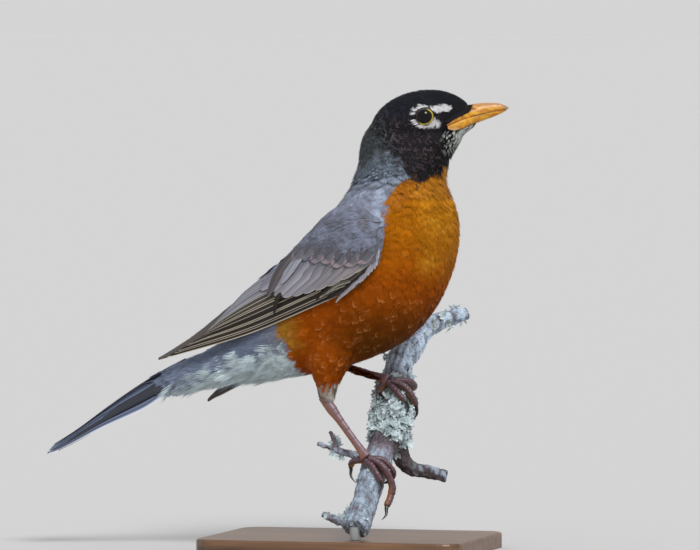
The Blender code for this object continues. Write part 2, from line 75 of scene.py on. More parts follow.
def unit(vectors):
    return vectors / np.maximum(np.linalg.norm(vectors, axis=-1, keepdims=True), 1e-9)


def ease(value, low, high):
    """0 below low, 1 above high, and a smooth rise between them."""
    share = np.clip((np.asarray(value, float) - low) / (high - low), 0.0, 1.0)
    return share * share * (3 - 2 * share)


def window(value, low, high, far_low, far_high):
    """A rise between the first two values and a fall between the last two."""
    return ease(value, low, high) * (1 - ease(value, far_low, far_high))


def away(points, spots):
    """How far each point is from the nearest of some spots."""
    return np.min([np.linalg.norm(points - spot, axis=1) for spot in spots], axis=0)


def read_mesh(mesh):
    """A mesh's points, in millimetres, and its triangles."""
    mesh.calc_loop_triangles()
    points = np.empty(len(mesh.vertices) * 3)
    corners = np.empty(len(mesh.loop_triangles) * 3, np.int32)
    mesh.vertices.foreach_get("co", points)
    mesh.loop_triangles.foreach_get("vertices", corners)
    return points.reshape(-1, 3) / MM, corners.reshape(-1, 3)


def cad_mesh(names):
    """Points and triangles of CAD nodes, joined, with doubled corners merged."""
    all_points, all_faces, base = [], [], 0
    for name in names:
        points, faces = read_mesh(nodes[name].data)
        points, index = np.unique(np.round(points, 3), axis=0, return_inverse=True)
        all_points.append(points)
        all_faces.append(index.reshape(-1)[faces] + base)
        base += len(points)
    return np.concatenate(all_points), np.concatenate(all_faces)


def raw_mesh(name, points, faces):
    """A Blender mesh from points in millimetres and one array of faces for each number of corners."""
    mesh = bpy.data.meshes.new(name)
    mesh.vertices.add(len(points))
    mesh.vertices.foreach_set("co", (np.asarray(points, float) * MM).ravel())
    corners = np.concatenate([np.asarray(group, np.int32).ravel() for group in faces])
    sizes = np.concatenate([np.full(len(group), np.shape(group)[1], np.int32) for group in faces])
    mesh.loops.add(len(corners))
    mesh.loops.foreach_set("vertex_index", corners)
    mesh.polygons.add(len(sizes))
    mesh.polygons.foreach_set("loop_start", np.concatenate(([0], np.cumsum(sizes)[:-1])).astype(np.int32))
    mesh.update(calc_edges=True)
    mesh.polygons.foreach_set("use_smooth", np.ones(len(sizes), bool))
    return mesh


def new_object(name, mesh, look=None):
    obj = bpy.data.objects.new(name, mesh)
    scene.collection.objects.link(obj)
    if look:
        mesh.materials.append(look)
    return obj


def fitted(obj, slot, *replaced):
    """Everything rides on the one body. slot is not used, and replaced names the solids it stands for."""
    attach(obj, "root")
    if replaced:
        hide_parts(*replaced)
    return obj


def eased_points(points, triangles, rounds):
    """Points with their facets smoothed away and their volume kept."""
    ends = np.concatenate([triangles[:, [0, 1]], triangles[:, [1, 2]], triangles[:, [2, 0]]])
    count = np.bincount(ends.ravel(), minlength=len(points))[:, None]
    for _ in range(rounds):
        for pull in (0.5, -0.52):
            total = np.zeros_like(points)
            for column in range(3):
                total[:, column] = np.bincount(ends[:, 0], points[ends[:, 1], column], len(points))
                total[:, column] += np.bincount(ends[:, 1], points[ends[:, 0], column], len(points))
            points = points + pull * (total / np.maximum(count, 1) - points)
    return points


class Surface:
    """A closed shell, in millimetres, that feathers lie on."""

    def __init__(self, names, grain, rounds):
        """One smooth shell round CAD nodes. grain closes every gap between them that is narrower."""
        points, faces = cad_mesh(names)
        work = new_object("shell", raw_mesh("shell", points, [faces]))
        remesh = work.modifiers.new("grain", "REMESH")
        remesh.mode = "VOXEL"
        remesh.voxel_size = grain * MM
        result = work.evaluated_get(bpy.context.evaluated_depsgraph_get())
        points, self.triangles = read_mesh(result.to_mesh())
        result.to_mesh_clear()
        bpy.data.objects.remove(work)
        self.points = eased_points(points, self.triangles, rounds)
        corners = self.points[self.triangles]
        face = np.cross(corners[:, 1] - corners[:, 0], corners[:, 2] - corners[:, 0])
        normals = np.zeros_like(self.points)
        for column in range(3):
            for corner in self.triangles.T:
                normals[:, column] += np.bincount(corner, face[:, column], len(self.points))
        self.normals = unit(normals)
        self.areas = np.linalg.norm(face, axis=1) / 2
        self.tree = BVHTree.FromPolygons(self.points.tolist(), self.triangles.tolist())

    def nearest(self, places):
        """The nearest places on the shell, and its smooth normals there."""
        found = [self.tree.find_nearest(place) for place in places.tolist()]
        places = np.array([hit[0] for hit in found])
        corners = self.triangles[[hit[2] for hit in found]]
        near = 1 / (np.linalg.norm(self.points[corners] - places[:, None], axis=2) + 0.05)
        near /= near.sum(1, keepdims=True)
        return places, unit((self.normals[corners] * near[..., None]).sum(1))


def coat_depth(points):
    """How far feather tips stand off the skin, in millimetres."""
    head = ease(points[:, 2], 174, 192)
    depth = 2.7 - 1.5 * head - 0.55 * head * ease(head_places(points)[0], 8, 22)
    return depth * (0.3 + 0.7 * ease(away(points, HEELS), 4, 20))


FLESH = ("head", "neck", "trunk", "rump", "thigh_left", "thigh_right")
BARE_PARTS = ("eye_left", "eye_right", "bill_upper", "bill_lower", "tail", "tarsus_left", "tarsus_right")
# Feathers are laid over the first shell, which takes in the bare parts too. The skin follows the second,
# which has only the eyes besides the flesh.
body = Surface(FLESH + BARE_PARTS, grain=0.9, rounds=5)
skin_form = Surface(FLESH + BARE_PARTS[:2], grain=1.1, rounds=5)


# ---------------------------------------------------------------- markings
# A male robin in breeding dress: black hood with broken white eye marks and a streaked white chin,
# brown-grey back, rust breast and flanks, white vent. One rule gives skin and feathers their colours.

# Middle line of the bird, from the crown to the tip of the tail.
SPINE = (
    (31.5, 2.0, 201.0), (28.5, 1.5, 190.0), (25.0, 1.0, 180.0), (23.4, 0.5, 171.0), (23.5, 0.0, 160.0),
    (20.0, 0.0, 147.0), (13.0, 0.0, 133.0), (4.5, 0.0, 118.0), (-8.0, 0.0, 104.5), (-23.0, 0.0, 95.0),
    (-39.0, 0.0, 88.5), (-56.0, 0.0, 83.0), (-72.0, 0.0, 79.0), (-90.0, 0.0, 72.0), (-115.0, 0.0, 61.0),
    (-143.0, 0.0, 43.0),
)


def spread(rows, share):
    """Values of equally spaced rows at shares from 0 to 1, joined by a smooth curve."""
    rows = np.asarray(rows, float)
    place = np.clip(share, 0, 1) * (len(rows) - 1)
    k = np.minimum(place.astype(int), len(rows) - 2)
    t = (place - k)[:, None]
    padded = np.concatenate(([2 * rows[0] - rows[1]], rows, [2 * rows[-1] - rows[-2]]))
    a, b, c, d = (padded[k + i] for i in range(4))
    return 0.5 * (2 * b + (c - a) * t + (2 * a - 5 * b + 4 * c - d) * t**2 + (3 * b - a - 3 * c + d) * t**3)


SPINE_LINE = spread(SPINE, np.linspace(0, 1, 240))
SPINE_WAY = unit(np.gradient(SPINE_LINE, axis=0))


def along_spine(points):
    """Index of the nearest of the spine's points."""
    found = np.empty(len(points), int)
    for start in range(0, len(points), 20000):
        part = points[start : start + 20000]
        far = (part**2).sum(1)[:, None] - 2 * part @ SPINE_LINE.T + (SPINE_LINE**2).sum(1)[None]
        found[start : start + 20000] = far.argmin(1)
    return found


HUES = dict(
    crown="13151D", crown_rim="465068", cheek="151318", cheek_rim="74616A", throat="0D0C0D", chin="B7BEB8",
    brow="D2D2D4", nape="303335", nape_rim="6E7378", neck_side="8593A4", neck_rim="1E2126",
    mantle="7E8192", mantle_rim="9295A6", mantle_dark="5C5A5E", breast="A66204", gold="BC8726",
    flank="9E4A03", belly="502F03", pale_tip="BE8656", buff="AC7D2A", vent="C8D8DE", rump="717C94",
    rump_rim="8C96AB", ankle="A8A29B", rust_fleck="9A5A2A",
)


def linear(colour):
    """A named hue or an sRGB hex colour as linear light. One that is linear already stays as it is."""
    if not isinstance(colour, str):
        return colour
    code = HUES.get(colour, colour)
    values = np.array([int(code[i : i + 2], 16) for i in (0, 2, 4)]) / 255
    return np.where(values <= 0.04045, values / 12.92, ((values + 0.055) / 1.055) ** 2.4)


def mix(first, second, share):
    """From the first colour or value to the second."""
    first, second = linear(first), linear(second)
    return first + (second - first) * np.asarray(share)[..., None]


def layered(colour, *layers):
    """A colour with others laid over it, each by its share."""
    for hue, share in layers:
        colour = mix(colour, hue, share)
    return colour


def ripple(points, size, seed):
    """Smooth random values, mostly from -1 to 1, that change over about that many millimetres."""
    rng = np.random.default_rng(seed)
    total = 0
    for _ in range(6):
        total = total + np.sin(points @ (unit(rng.normal(size=3)) * 2 * math.pi / size) + rng.uniform(0, 6.3))
    return total / 2.4


# Where rust gives way to grey on the bird's side: heights, and the place along X at each.
RUST_EDGE_Z = (80, 88, 94, 100, 105, 108, 112, 120, 130, 140, 149, 154, 160, 165, 168.6, 171, 175)
RUST_EDGE_X = (-22, -24, -26, -29, -32, -30, -20, -6, 5, 14, 22.5, 23.5, 23.5, 27.5, 31, 34, 38)
# Where grey coverts give way to white ones: places along X, and the height at each.
WHITE_EDGE_X = (-95, -88, -77, -66, -54, -42.5, -30.6, -20)
WHITE_EDGE_Z = (67, 70, 74.6, 80.4, 85.3, 88.5, 91.2, 96)
# Rear edge of the black hood: heights above the head's centre, and the place ahead of it at each.
HOOD_U = (-30, -28, -22, -17, -14, -8, -4, 2, 8)
HOOD_A = (-10.5, -10.5, -13, -16, -17.5, -19.5, -21.5, -24, -30)


def eye_marks(ahead, above, fuzz):
    """How white the feathers are round an eye, in the side view of the head: an arc above and behind it,
    an arc below it, each between two distances from its middle, and a brow before it."""
    a, u = ahead - EYE_SEAT[0], above - EYE_SEAT[2]
    far = np.hypot(a, u) + 0.25 * fuzz
    angle = np.degrees(np.arctan2(u, a))
    edge = np.interp(angle, (60, 90, 130, 175), (5.3, 5.6, 6.5, 7.7))
    rear_arc = window(angle, 64, 69, 160, 167) * window(far, 4.2, 4.6, edge - 0.2, edge + 0.4)
    turns = (-180, -165, -147, -110, -80, -60, -45, -34)
    outer = np.interp(angle, turns, (7.9, 6.9, 6.0, 5.8, 5.9, 7.1, 8.1, 7.7))
    inner = np.interp(angle, (-180, -165, -147, -120, -60), (7.1, 6.1, 5.0, 4.3, 4.3))
    low_arc = (1 - ease(angle, -40, -31)) * window(far, inner - 0.2, inner + 0.3, outer - 0.4, outer + 0.3)
    top = np.interp(ahead, (5.2, 6.2, 9.0, 12.4, 15.0, 16.2), (4.2, 4.9, 5.0, 4.4, 2.7, 1.3))
    low = np.interp(ahead, (5.2, 6.6, 9.0, 12.0, 15.0, 16.2), (4.9, 3.5, 1.8, 1.1, 0.9, 1.4))
    brow = ease(above - low + 0.3 * fuzz, -0.2, 0.3) * ease(top - above + 0.3 * fuzz, -0.2, 0.3)
    return np.maximum(np.maximum(rear_arc, low_arc), brow * window(ahead, 4.9, 5.5, 14.7, 15.5))


def markings(points, chance):
    """Colour of the feather at each point, colour of its rim and strength of the rim."""
    x, y, z = points.T
    ahead, beside, above = head_places(points)
    wide, fine = ripple(points, 16, 1), ripple(points, 5, 2)
    odd = chance - 0.5

    # Brown-grey back.
    colour = mix("mantle", "mantle_dark", ease(fine + 3 * odd, 0.2, 1.6) * 0.7)
    rim, strength = linear("mantle_rim"), 0.25 + 0.3 * odd

    def lay(share, new_colour, new_rim=None, new_strength=None):
        """Lays a patch of the pattern over what is there, by its share."""
        nonlocal colour, rim, strength
        colour = mix(colour, new_colour, share)
        if new_rim is not None:
            rim = mix(rim, new_rim, share)
        if new_strength is not None:
            strength = strength * (1 - share) + share * new_strength

    # Scaled neck, nape and rump.
    nape = ease(z + 2.0 * fine + 0.5 * (15 - x), 172, 182)
    scaled = 0.7 - 0.4 * nape + 0.5 * odd
    lay(ease(z, 158, 171), mix("neck_side", "nape", nape), mix("neck_rim", "nape_rim", nape), scaled)
    lay(ease(-x, 30, 44), "rump", "rump_rim")

    # White vent and under-tail coverts.
    white = ease(np.interp(x, WHITE_EDGE_X, WHITE_EDGE_Z) - z + 1.6 * fine + 1.1 * odd, -1.3, 1.3)
    pale = linear("vent") * (1 + 0.65 * odd)[:, None]
    lay(white * ease(-x, 18, 26), pale, pale * 1.15)

    # Rust breast and flanks, more golden in front, with a buff tuft by the white. The gold is partly paler
    # feather tips and partly a painted highlight where the front of the breast faces the light.
    rust = ease(x - np.interp(z, RUST_EDGE_Z, RUST_EDGE_X) + 0.7 * fine + 1.9 * odd, -0.25, 0.25)
    gold = ease(wide + 0.5 * fine, 0.35, 1.3) * ease(x, 28, 42) * window(z, 118, 140, 158, 168)
    tuft = ease(-x, 14, 26) * window(z, 88, 95, 103, 110) * ease(-y, 6, 14)
    tuft = np.maximum(tuft, ease(-x, 16, 28) * ease(z, 86, 93) * ease(y, 8, 14))
    warm = layered(
        "breast",
        ("flank", 1 - ease(z, 112, 156)),
        # Darker towards the bottom: partly the deeper rust of the belly, partly painted shade under the body.
        ("belly", 0.9 * (1 - ease(z, 88, 130)) * ease(x, -10, 14)),
        # Painted highlight: the upper front of the breast is laid over with gold.
        ("gold", 0.3 * ease(x, 32, 44) * ease(z, 116, 132)),
        ("gold", 0.5 * gold),
    )
    warm = mix(warm * (1 + 0.22 * odd + 0.07 * wide)[:, None], "buff", 0.8 * tuft)
    lay(rust, warm, "pale_tip", 0.3 * ease(chance, 0.94, 1.0))

    # Pale grey ankles with rust flecks.
    fleck = mix("ankle", "rust_fleck", ease(chance, 0.6, 0.9))
    lay(1 - ease(away(points, HEELS) + 2 * odd, 7, 10.5), fleck)

    # Black hood, with dusky rims on its cheeks and rear crown, and blue-grey rims on top of the crown that
    # are a painted blue sheen.
    bottom = -27.4 + 1.6 * fine + 5 * odd - 2.5 * ease(np.abs(beside), 6, 14)
    hood = ease(ahead - np.interp(above, HOOD_U, HOOD_A) + 1.4 * fine + 5 * odd, -3.5, 3.5)
    hood = hood * ease(above - bottom, -0.6, 0.6)
    throat = ease(-above, 9, 16) * ease(ahead, -8, 2)
    black = layered("crown", ("cheek", 1 - ease(above, 0, 6)), ("throat", throat))
    crown_rear = ease(-ahead, 8, 19) * (1 - ease(above, 6, 11))
    edge = layered("cheek_rim", ("crown_rim", ease(above, 1, 6)), ("nape_rim", crown_rear))
    quiet = 0.36 * ease(-ahead, -14, -4) * (1 - 0.7 * ease(above, 0, 6)) + 0.2 * crown_rear
    lay(hood, black, edge, quiet * (0.1 + 1.1 * ease(chance, 0.5, 0.95)))

    # White streaks of chin and throat, and the white round the eyes.
    chin = ease(ahead, 13.5, 16.0) * ease(-above, 5.0, 7.0) * ease(chance, 0.08, 0.2)
    streak = ease(ahead, 5.5, 11) * window(-above, 6.5, 9, 17, 21) * ease(chance, 0.66, 0.74)
    low_streak = ease(-above, 21, 24) * hood * ease(ahead, -3, 3) * ease(chance, 0.96, 0.98)
    lay(np.maximum(np.maximum(chin, streak), 0.8 * low_streak), "chin", None, 0.0)
    marks = eye_marks(ahead, above, ripple(points, 2.2, 3)) * ease(np.abs(beside), 5.5, 7.5)
    lay(marks, linear("brow") * (1 + 0.2 * odd)[:, None], None, 0.0)
    return np.clip(colour, 0.002, 0.95), np.clip(rim, 0.002, 0.95), np.clip(strength, 0, 1)


def wire(node, links):
    """Sets a node's inputs: each gets a value, a socket or the first output of a node."""
    for key, value in links.items():
        if isinstance(value, bpy.types.Node):
            value = value.outputs[0]
        if isinstance(value, bpy.types.NodeSocket):
            node.id_data.links.new(value, node.inputs[key])
        else:
            node.inputs[key].default_value = value
    return node


def add(tree, kind, links={}, **settings):
    """A new node with its settings and what goes into its inputs."""
    node = tree.nodes.new(kind)
    for key, value in settings.items():
        setattr(node, key, value)
    return wire(node, links)


def new_look(name, **finish):
    """A material with one Principled shader, whose constant values are set on its own sockets."""
    look = bpy.data.materials.new(name)
    look.use_nodes = True
    shader = look.node_tree.nodes["Principled BSDF"]
    wire(shader, {key.replace("_", " "): value for key, value in finish.items()})
    return look, look.node_tree, shader


def grained(shader, colour, grain, strength, relief, depth):
    """Gives a shader a colour that grain makes lighter and darker by strength, and a relief from grain
    that is depth metres deep."""
    tree = shader.id_data
    if strength:
        spans = {"From Min": 0.3, "From Max": 0.7, "To Min": 1 - strength, "To Max": 1 + strength}
        shade = add(tree, "ShaderNodeMapRange", {"Value": grain, **spans})
        colour = add(tree, "ShaderNodeVectorMath", {0: colour, "Scale": shade}, operation="SCALE")
    bump = add(tree, "ShaderNodeBump", {"Height": grain, "Strength": relief, "Distance": depth})
    wire(shader, {"Base Color": colour, "Normal": bump})


def plumage_look(name, sheen, gloss, contrast, rim_from):
    """Soft contour feathers: matt keratin barbs that shine a little along their length. Fine streaks are
    the barbs, drawn about 0.4 mm wide, wider than real ones, so that they show."""
    look, tree, shader = new_look(
        name, Roughness=0.62, Sheen_Weight=sheen, Sheen_Roughness=0.45, Specular_IOR_Level=gloss
    )
    plume, rim, trait = (
        add(tree, "ShaderNodeAttribute", attribute_name=layer) for layer in ("plume", "rim", "trait")
    )
    traits = add(tree, "ShaderNodeSeparateXYZ", {0: trait.outputs["Vector"]})
    vane = add(tree, "ShaderNodeUVMap", uv_map="vane")
    across, along, _ = add(tree, "ShaderNodeSeparateXYZ", {0: vane}).outputs
    spot = add(tree, "ShaderNodeCombineXYZ", {0: across, 1: along, 2: traits})
    spot = add(tree, "ShaderNodeVectorMath", {0: spot, 1: (13.0, 1.6, 37.0)}, operation="MULTIPLY")
    barbs = add(tree, "ShaderNodeTexNoise", {"Vector": spot, "Scale": 1.0, "Detail": 2.0, "Roughness": 0.6})
    reach = across
    for operation, first, second in (
        ("MULTIPLY_ADD", 2.0, -1.0),
        ("ABSOLUTE", 0.0, 0.0),
        ("POWER", 2.5, 0.0),
        ("MULTIPLY", 0.22, 0.0),
        ("ADD", along, 0.0),
    ):
        reach = add(tree, "ShaderNodeMath", {0: reach, 1: first, 2: second}, operation=operation)
    ragged = add(tree, "ShaderNodeMath", {0: barbs, 1: 0.16, 2: -0.08}, operation="MULTIPLY_ADD")
    reach = add(tree, "ShaderNodeMath", {0: reach, 1: ragged}, operation="ADD")
    spans = {"Value": reach, "From Min": rim_from, "From Max": rim_from + 0.1}
    edge = add(tree, "ShaderNodeMapRange", spans, interpolation_type="SMOOTHSTEP")
    share = add(tree, "ShaderNodeMath", {0: edge, 1: traits.outputs[1]}, operation="MULTIPLY")
    colour = add(tree, "ShaderNodeMix", {0: share, 6: plume, 7: rim}, data_type="RGBA")
    grained(shader, colour.outputs[2], barbs, contrast, relief=0.35, depth=0.0003)
    return look


PLUMAGE = {
    "black": plumage_look("black_hood_feather", sheen=0.01, gloss=0.14, contrast=0.40, rim_from=0.72),
    "grey": plumage_look("grey_back_feather", sheen=0.03, gloss=0.12, contrast=0.24, rim_from=0.76),
    "rust": plumage_look("rust_breast_feather", sheen=0.01, gloss=0.03, contrast=0.18, rim_from=0.84),
    "white": plumage_look("white_down_feather", sheen=0.05, gloss=0.12, contrast=0.14, rim_from=0.8),
}


def set_colours(mesh, name, values):
    layer = mesh.attributes.new(name, "FLOAT_COLOR", "POINT")
    layer.data.foreach_set("color", np.column_stack((values, np.ones(len(values)))).ravel())


# Bare skin is matt and pitted: the pores are drawn about 1 mm apart.
skin_look, tree, shader = new_look("bare_skin", Roughness=0.7, Specular_IOR_Level=0.25)
tone = add(tree, "ShaderNodeAttribute", attribute_name="plume")
place = add(tree, "ShaderNodeTexCoord").outputs["Object"]
pores = add(tree, "ShaderNodeTexNoise", {"Vector": place, "Scale": 900.0, "Detail": 3.0})
grained(shader, tone, pores, strength=0, relief=0.4, depth=0.0003)

depth = coat_depth(skin_form.points) + 0.15
skin_points = skin_form.points - skin_form.normals * depth[:, None]
ahead, beside, above = (part[:, None] for part in head_places(skin_points))
tuck = 0.35 * ease(ahead, 14, 20)  # narrower under the horn of the bill
skin_points = skin_points - tuck * (BESIDE * beside + ABOVE * (above + 4.5))
skin_mesh = raw_mesh("skin", skin_points, [skin_form.triangles])
tone = markings(skin_form.points, np.full(len(skin_form.points), 0.5))[0]
set_colours(skin_mesh, "plume", tone * 0.45)
fitted(new_object("skin", skin_mesh, skin_look), "plumage_rust", *FLESH)


# ---------------------------------------------------------------- body feathers
# Contour feathers overlap like tiles from bill to tail. Each is a thin curved vane that rises from the
# skin, lies along the body and ends in loose barbs. They are smallest on the face and longest at the vent.


def level_with(way, normals):
    """The part of a way that lies along the surface."""
    return unit(way - normals * (way * normals).sum(1)[:, None])


def flow(places, normals):
    """The way feathers lie: back from the bill over the head, then along the spine to the tail."""
    way = SPINE_WAY[along_spine(places)]
    bill = in_head(25.0, 0.0, -4.0)
    from_bill = unit(places - bill + np.array((0.0, 0.0, -3.0)))
    way = mix(way, from_bill, ease(places[:, 2] + 0.25 * head_places(places)[0], 176, 194))
    for eye in EYES:
        to_eye = eye - places
        far = np.linalg.norm(to_eye, axis=1)
        to_eye = level_with(to_eye, normals)
        toward = np.maximum((way * to_eye).sum(1), 0) * (1 - ease(far, 6.0, 10.0))
        way = way - to_eye * toward[:, None]
    return level_with(way, normals)


def scatter(surface, spacing, where, seed):
    """Evenly spread random places on a shell, about that far apart, where a test holds."""
    rng = np.random.default_rng(seed)
    chosen = np.flatnonzero(where(surface.points[surface.triangles].mean(1)))
    areas = surface.areas[chosen]
    count = int(areas.sum() / spacing**2 * 8)
    picked = surface.triangles[rng.choice(chosen, count, p=areas / areas.sum())]
    first, second = rng.random((2, count, 1))
    over = first + second > 1
    first, second = np.where(over, 1 - first, first), np.where(over, 1 - second, second)
    a, b, c = (surface.points[picked[:, k]] for k in range(3))
    places = a + first * (b - a) + second * (c - a)
    for shift in (0.0, 0.5):
        cells = np.floor(places / spacing + shift).astype(int)
        places = places[np.sort(np.unique(cells, axis=0, return_index=True)[1])]
    return places


def strip_quads(rows, columns):
    """Quads of a net of points in rows."""
    a, b = np.meshgrid(np.arange(rows - 1), np.arange(columns - 1), indexing="ij")
    corner = (a * columns + b).ravel()
    return np.column_stack((corner, corner + columns, corner + columns + 1, corner + 1))


def vane_pattern(rows, columns, body_share):
    """One feather flat: across from -1 to 1, along from 0 to 1, quads of the vane and triangles of the
    loose barb ends beyond its last row."""
    line = np.linspace(-1, 1, columns)
    along = np.repeat(np.linspace(0, body_share, rows), columns)
    across = np.tile(line, rows)
    along = along * (1 - 0.16 * across**2 * along**3)
    tips = (line[:-1] + line[1:]) / 2
    last_row = body_share * (1 - 0.16 * tips**2 * body_share**3)
    along = np.concatenate((along, last_row + (1 - body_share) * (1 - 0.5 * tips**2)))
    across = np.concatenate((across, tips * 0.92))
    last = (rows - 1) * columns + np.arange(columns - 1)
    ends = np.column_stack((last, rows * columns + np.arange(columns - 1), last + 1))
    return across, along, strip_quads(rows, columns), ends


def unwrap(points):
    """Places on the skin's own shape: the angle round the spine, and the share along it."""
    near = along_spine(points)
    way = SPINE_WAY[near]
    side = unit(np.cross(way, np.array((0.0, 0.0, 1.0))) + np.array((0.0, -1e-3, 0.0)))
    side = np.where(side[:, 1:2] > 0, -side, side)
    off = points - SPINE_LINE[near]
    angle = np.arctan2((off * side).sum(1), (off * np.cross(side, way)).sum(1))
    return np.column_stack((angle / (2 * math.pi) + 0.5, near / len(SPINE_LINE)))


def set_traits(mesh, chance, strength, size):
    """A random number and the strength of the rim, for all of a feather's points."""
    trait = mesh.attributes.new("trait", "FLOAT_VECTOR", "POINT")
    traits = np.column_stack((chance, strength, np.zeros(len(chance))))
    trait.data.foreach_set("vector", np.repeat(traits, size, axis=0).ravel())


def set_map(mesh, name, places):
    """A UV map from one place for each point."""
    corners = np.empty(len(mesh.loops), np.int32)
    mesh.loops.foreach_get("vertex_index", corners)
    mesh.uv_layers.new(name=name).uv.foreach_set("vector", places[corners].ravel())


PATCH = 0.003  # a feather's patch on the baking map


def feather_piece(name, coat, pattern, places, normals, headings, sizes, paint, seed):
    """Feathers as one mesh. places, normals and headings give each feather's line over the body, and
    sizes its length, half width, depth, lift of its tip, curl and untidiness, each for every feather."""
    across, along, quads, ends = pattern
    steps, count = len(places) - 1, places.shape[1]
    rng = np.random.default_rng(seed)
    length, half, depth, lift, curl, stray = (np.broadcast_to(part, count)[:, None] for part in sizes)
    loose = np.arange(len(along)) > quads.max()
    slack = 1 - along[~loose].max()
    t = np.tile(along, (count, 1))
    u = np.tile(across, (count, 1))
    t[:, loose] += rng.normal(0, 0.1 * slack, (count, loose.sum()))
    u[:, loose] += rng.normal(0, 0.2 * slack, (count, loose.sum()))
    k = np.clip((t * steps).astype(int), 0, steps - 1)
    share = (t * steps - k)[..., None]
    each = np.arange(count)[:, None]

    def on_line(values):
        return values[k, each] * (1 - share) + values[k + 1, each] * share

    normal, heading = unit(on_line(normals)), unit(on_line(headings))
    side = unit(np.cross(normal, heading))
    outline = np.minimum(t / 0.3, 1.0) ** 0.6 * (1 - 0.35 * np.clip((t - 0.6) / 0.4, 0, 1) ** 2)
    yaw = rng.normal(0, 1, (count, 1)) * stray
    roll = rng.normal(0, 1, (count, 1)) * stray
    rise = -depth * (1 - np.clip(t, 0, 1) ** 0.75) + lift * t + curl * np.clip(t, 0, 1.1) ** 3
    rise = rise - 0.10 * half * u**2 + roll * half * u * 0.5
    rise[:, loose] += rng.normal(0, 0.05, (count, loose.sum())) * half
    points = on_line(places) + side * (u * half * outline + yaw * t * length)[..., None]
    points = points + normal * rise[..., None]
    chance = rng.random(count)
    colour, rim, strength = paint(places[-1] * 0.75 + places[-2] * 0.25, chance)
    size = len(along)
    base = (np.arange(count) * size)[:, None, None]
    faces = [(part[None] + base).reshape(-1, part.shape[1]) for part in (quads, ends)]
    mesh = raw_mesh(name, points.reshape(-1, 3), faces)
    shade = (0.8 + 0.2 * np.clip(along / 0.6, 0, 1)) ** 1.5
    set_colours(mesh, "plume", (colour[:, None] * shade[None, :, None]).reshape(-1, 3))
    set_colours(mesh, "rim", np.repeat(rim, size, axis=0))
    set_traits(mesh, chance, strength, size)
    set_map(mesh, "vane", np.column_stack((np.tile(across / 2 + 0.5, count), np.tile(along, count))))
    seat = unwrap(places[0])
    seat = 0.01 + 0.97 * (seat - seat.min(0)) / np.maximum(np.ptp(seat, axis=0), 1e-6)
    patch = np.column_stack((across / 2 + 0.5, along)) * PATCH
    set_map(mesh, "OFBake", (seat[:, None] + patch[None]).reshape(-1, 2))
    soft = unit(normal * 0.65 + unit(normal - heading * 0.18 + side * (u * 0.25)[..., None]) * 0.35)
    mesh.normals_split_custom_set_from_vertices(soft.reshape(-1, 3).tolist())
    return fitted(new_object(name, mesh, PLUMAGE[coat]), f"plumage_{coat}")


def lay_lines(surface, roots, length, way, steps):
    """Walks each feather's line over a shell from its root."""
    step = np.broadcast_to(length, len(roots))[:, None] / steps
    places, normals = surface.nearest(roots)
    rows = []
    for _ in range(steps + 1):
        heading = way(places, normals)
        rows.append((places, normals, heading))
        places, normals = surface.nearest(places + heading * step)
    return [np.array(column) for column in zip(*rows)]


bill_tree = BVHTree.FromPolygons(*[part.tolist() for part in cad_mesh(("bill_upper", "bill_lower"))])


def bare(points):
    """True where no body feather grows: on the eyes, the bill and the tail, and below the heels."""
    no = away(points, EYES) < EYE_RADIUS + 0.28
    ahead, _, above = head_places(points)
    for i in np.flatnonzero(ahead > 11):
        no[i] |= bill_tree.find_nearest(points[i].tolist())[3] < 0.4
    lore = np.interp(above, (-9.0, -5.9, -2.9, -1.1, 1.3, 3.0), (9.5, 11.6, 16.2, 21.6, 23.6, 24.5))
    no |= (ahead > lore) & (above > np.interp(ahead, (11, 13, 17, 23, 26), (-7.4, -8.4, -8.9, -8.5, -7.0)))
    no |= points[:, 0] < np.interp(points[:, 2], (70, 76, 82), (-76, -80, -88))
    return no | (away(points, HEELS) < 2.6) | (points[:, 2] < HEELS[0][2] + 0.5)


def region(places):
    """0 face, 1 crown and cheek, 2 neck, 3 breast, 4 flank and belly, 5 back, 6 rump above,
    7 vent and under tail, 8 shank."""
    x, _, z = places.T
    ahead, _, above = head_places(places)
    found = np.full(len(places), 4)
    found[z > 128] = 3
    found[(x < np.interp(z, RUST_EDGE_Z, RUST_EDGE_X)) & (z > 96)] = 5
    found[x < -36] = 6
    found[(x < -22) & (z < np.interp(x, WHITE_EDGE_X, WHITE_EDGE_Z))] = 7
    found[away(places, HEELS) < 13] = 8
    found[z > 166] = 2
    found[(z > 182) | (above > -19)] = 1
    found[(found == 1) & ((ahead > 11) | (away(places, EYES) < 8.5))] = 0
    return found


FINE, SMALL, LOOSE = vane_pattern(3, 3, 0.6), vane_pattern(3, 5, 0.62), vane_pattern(4, 7, 0.55)
TIDY, BROAD = vane_pattern(4, 7, 0.72), vane_pattern(4, 9, 0.66)
# One row for each region: name, coat, spacing, length, half width, lift, curl, untidiness and pattern.
COAT = (
    ("face", "black", 0.54, 3.3, 0.46, 0.05, 0.05, 0.10, FINE),
    ("hood", "black", 0.95, 5.0, 1.15, 0.05, 0.10, 0.09, SMALL),
    ("neck", "grey", 1.75, 7.5, 2.0, 0.05, 0.20, 0.08, LOOSE),
    ("breast", "rust", 1.35, 10.5, 2.3, 0.05, 0.20, 0.07, TIDY),
    ("flank", "rust", 1.45, 12.5, 2.7, 0.10, 0.25, 0.07, TIDY),
    ("back", "grey", 1.6, 10.5, 2.9, 0.05, 0.10, 0.05, BROAD),
    ("rump", "grey", 2.0, 13.0, 3.3, 0.05, 0.10, 0.05, BROAD),
    ("vent", "white", 1.8, 14.0, 2.6, 0.30, 1.60, 0.13, LOOSE),
    ("shank", "rust", 0.95, 6.0, 1.1, 0.10, 0.30, 0.10, LOOSE),
)
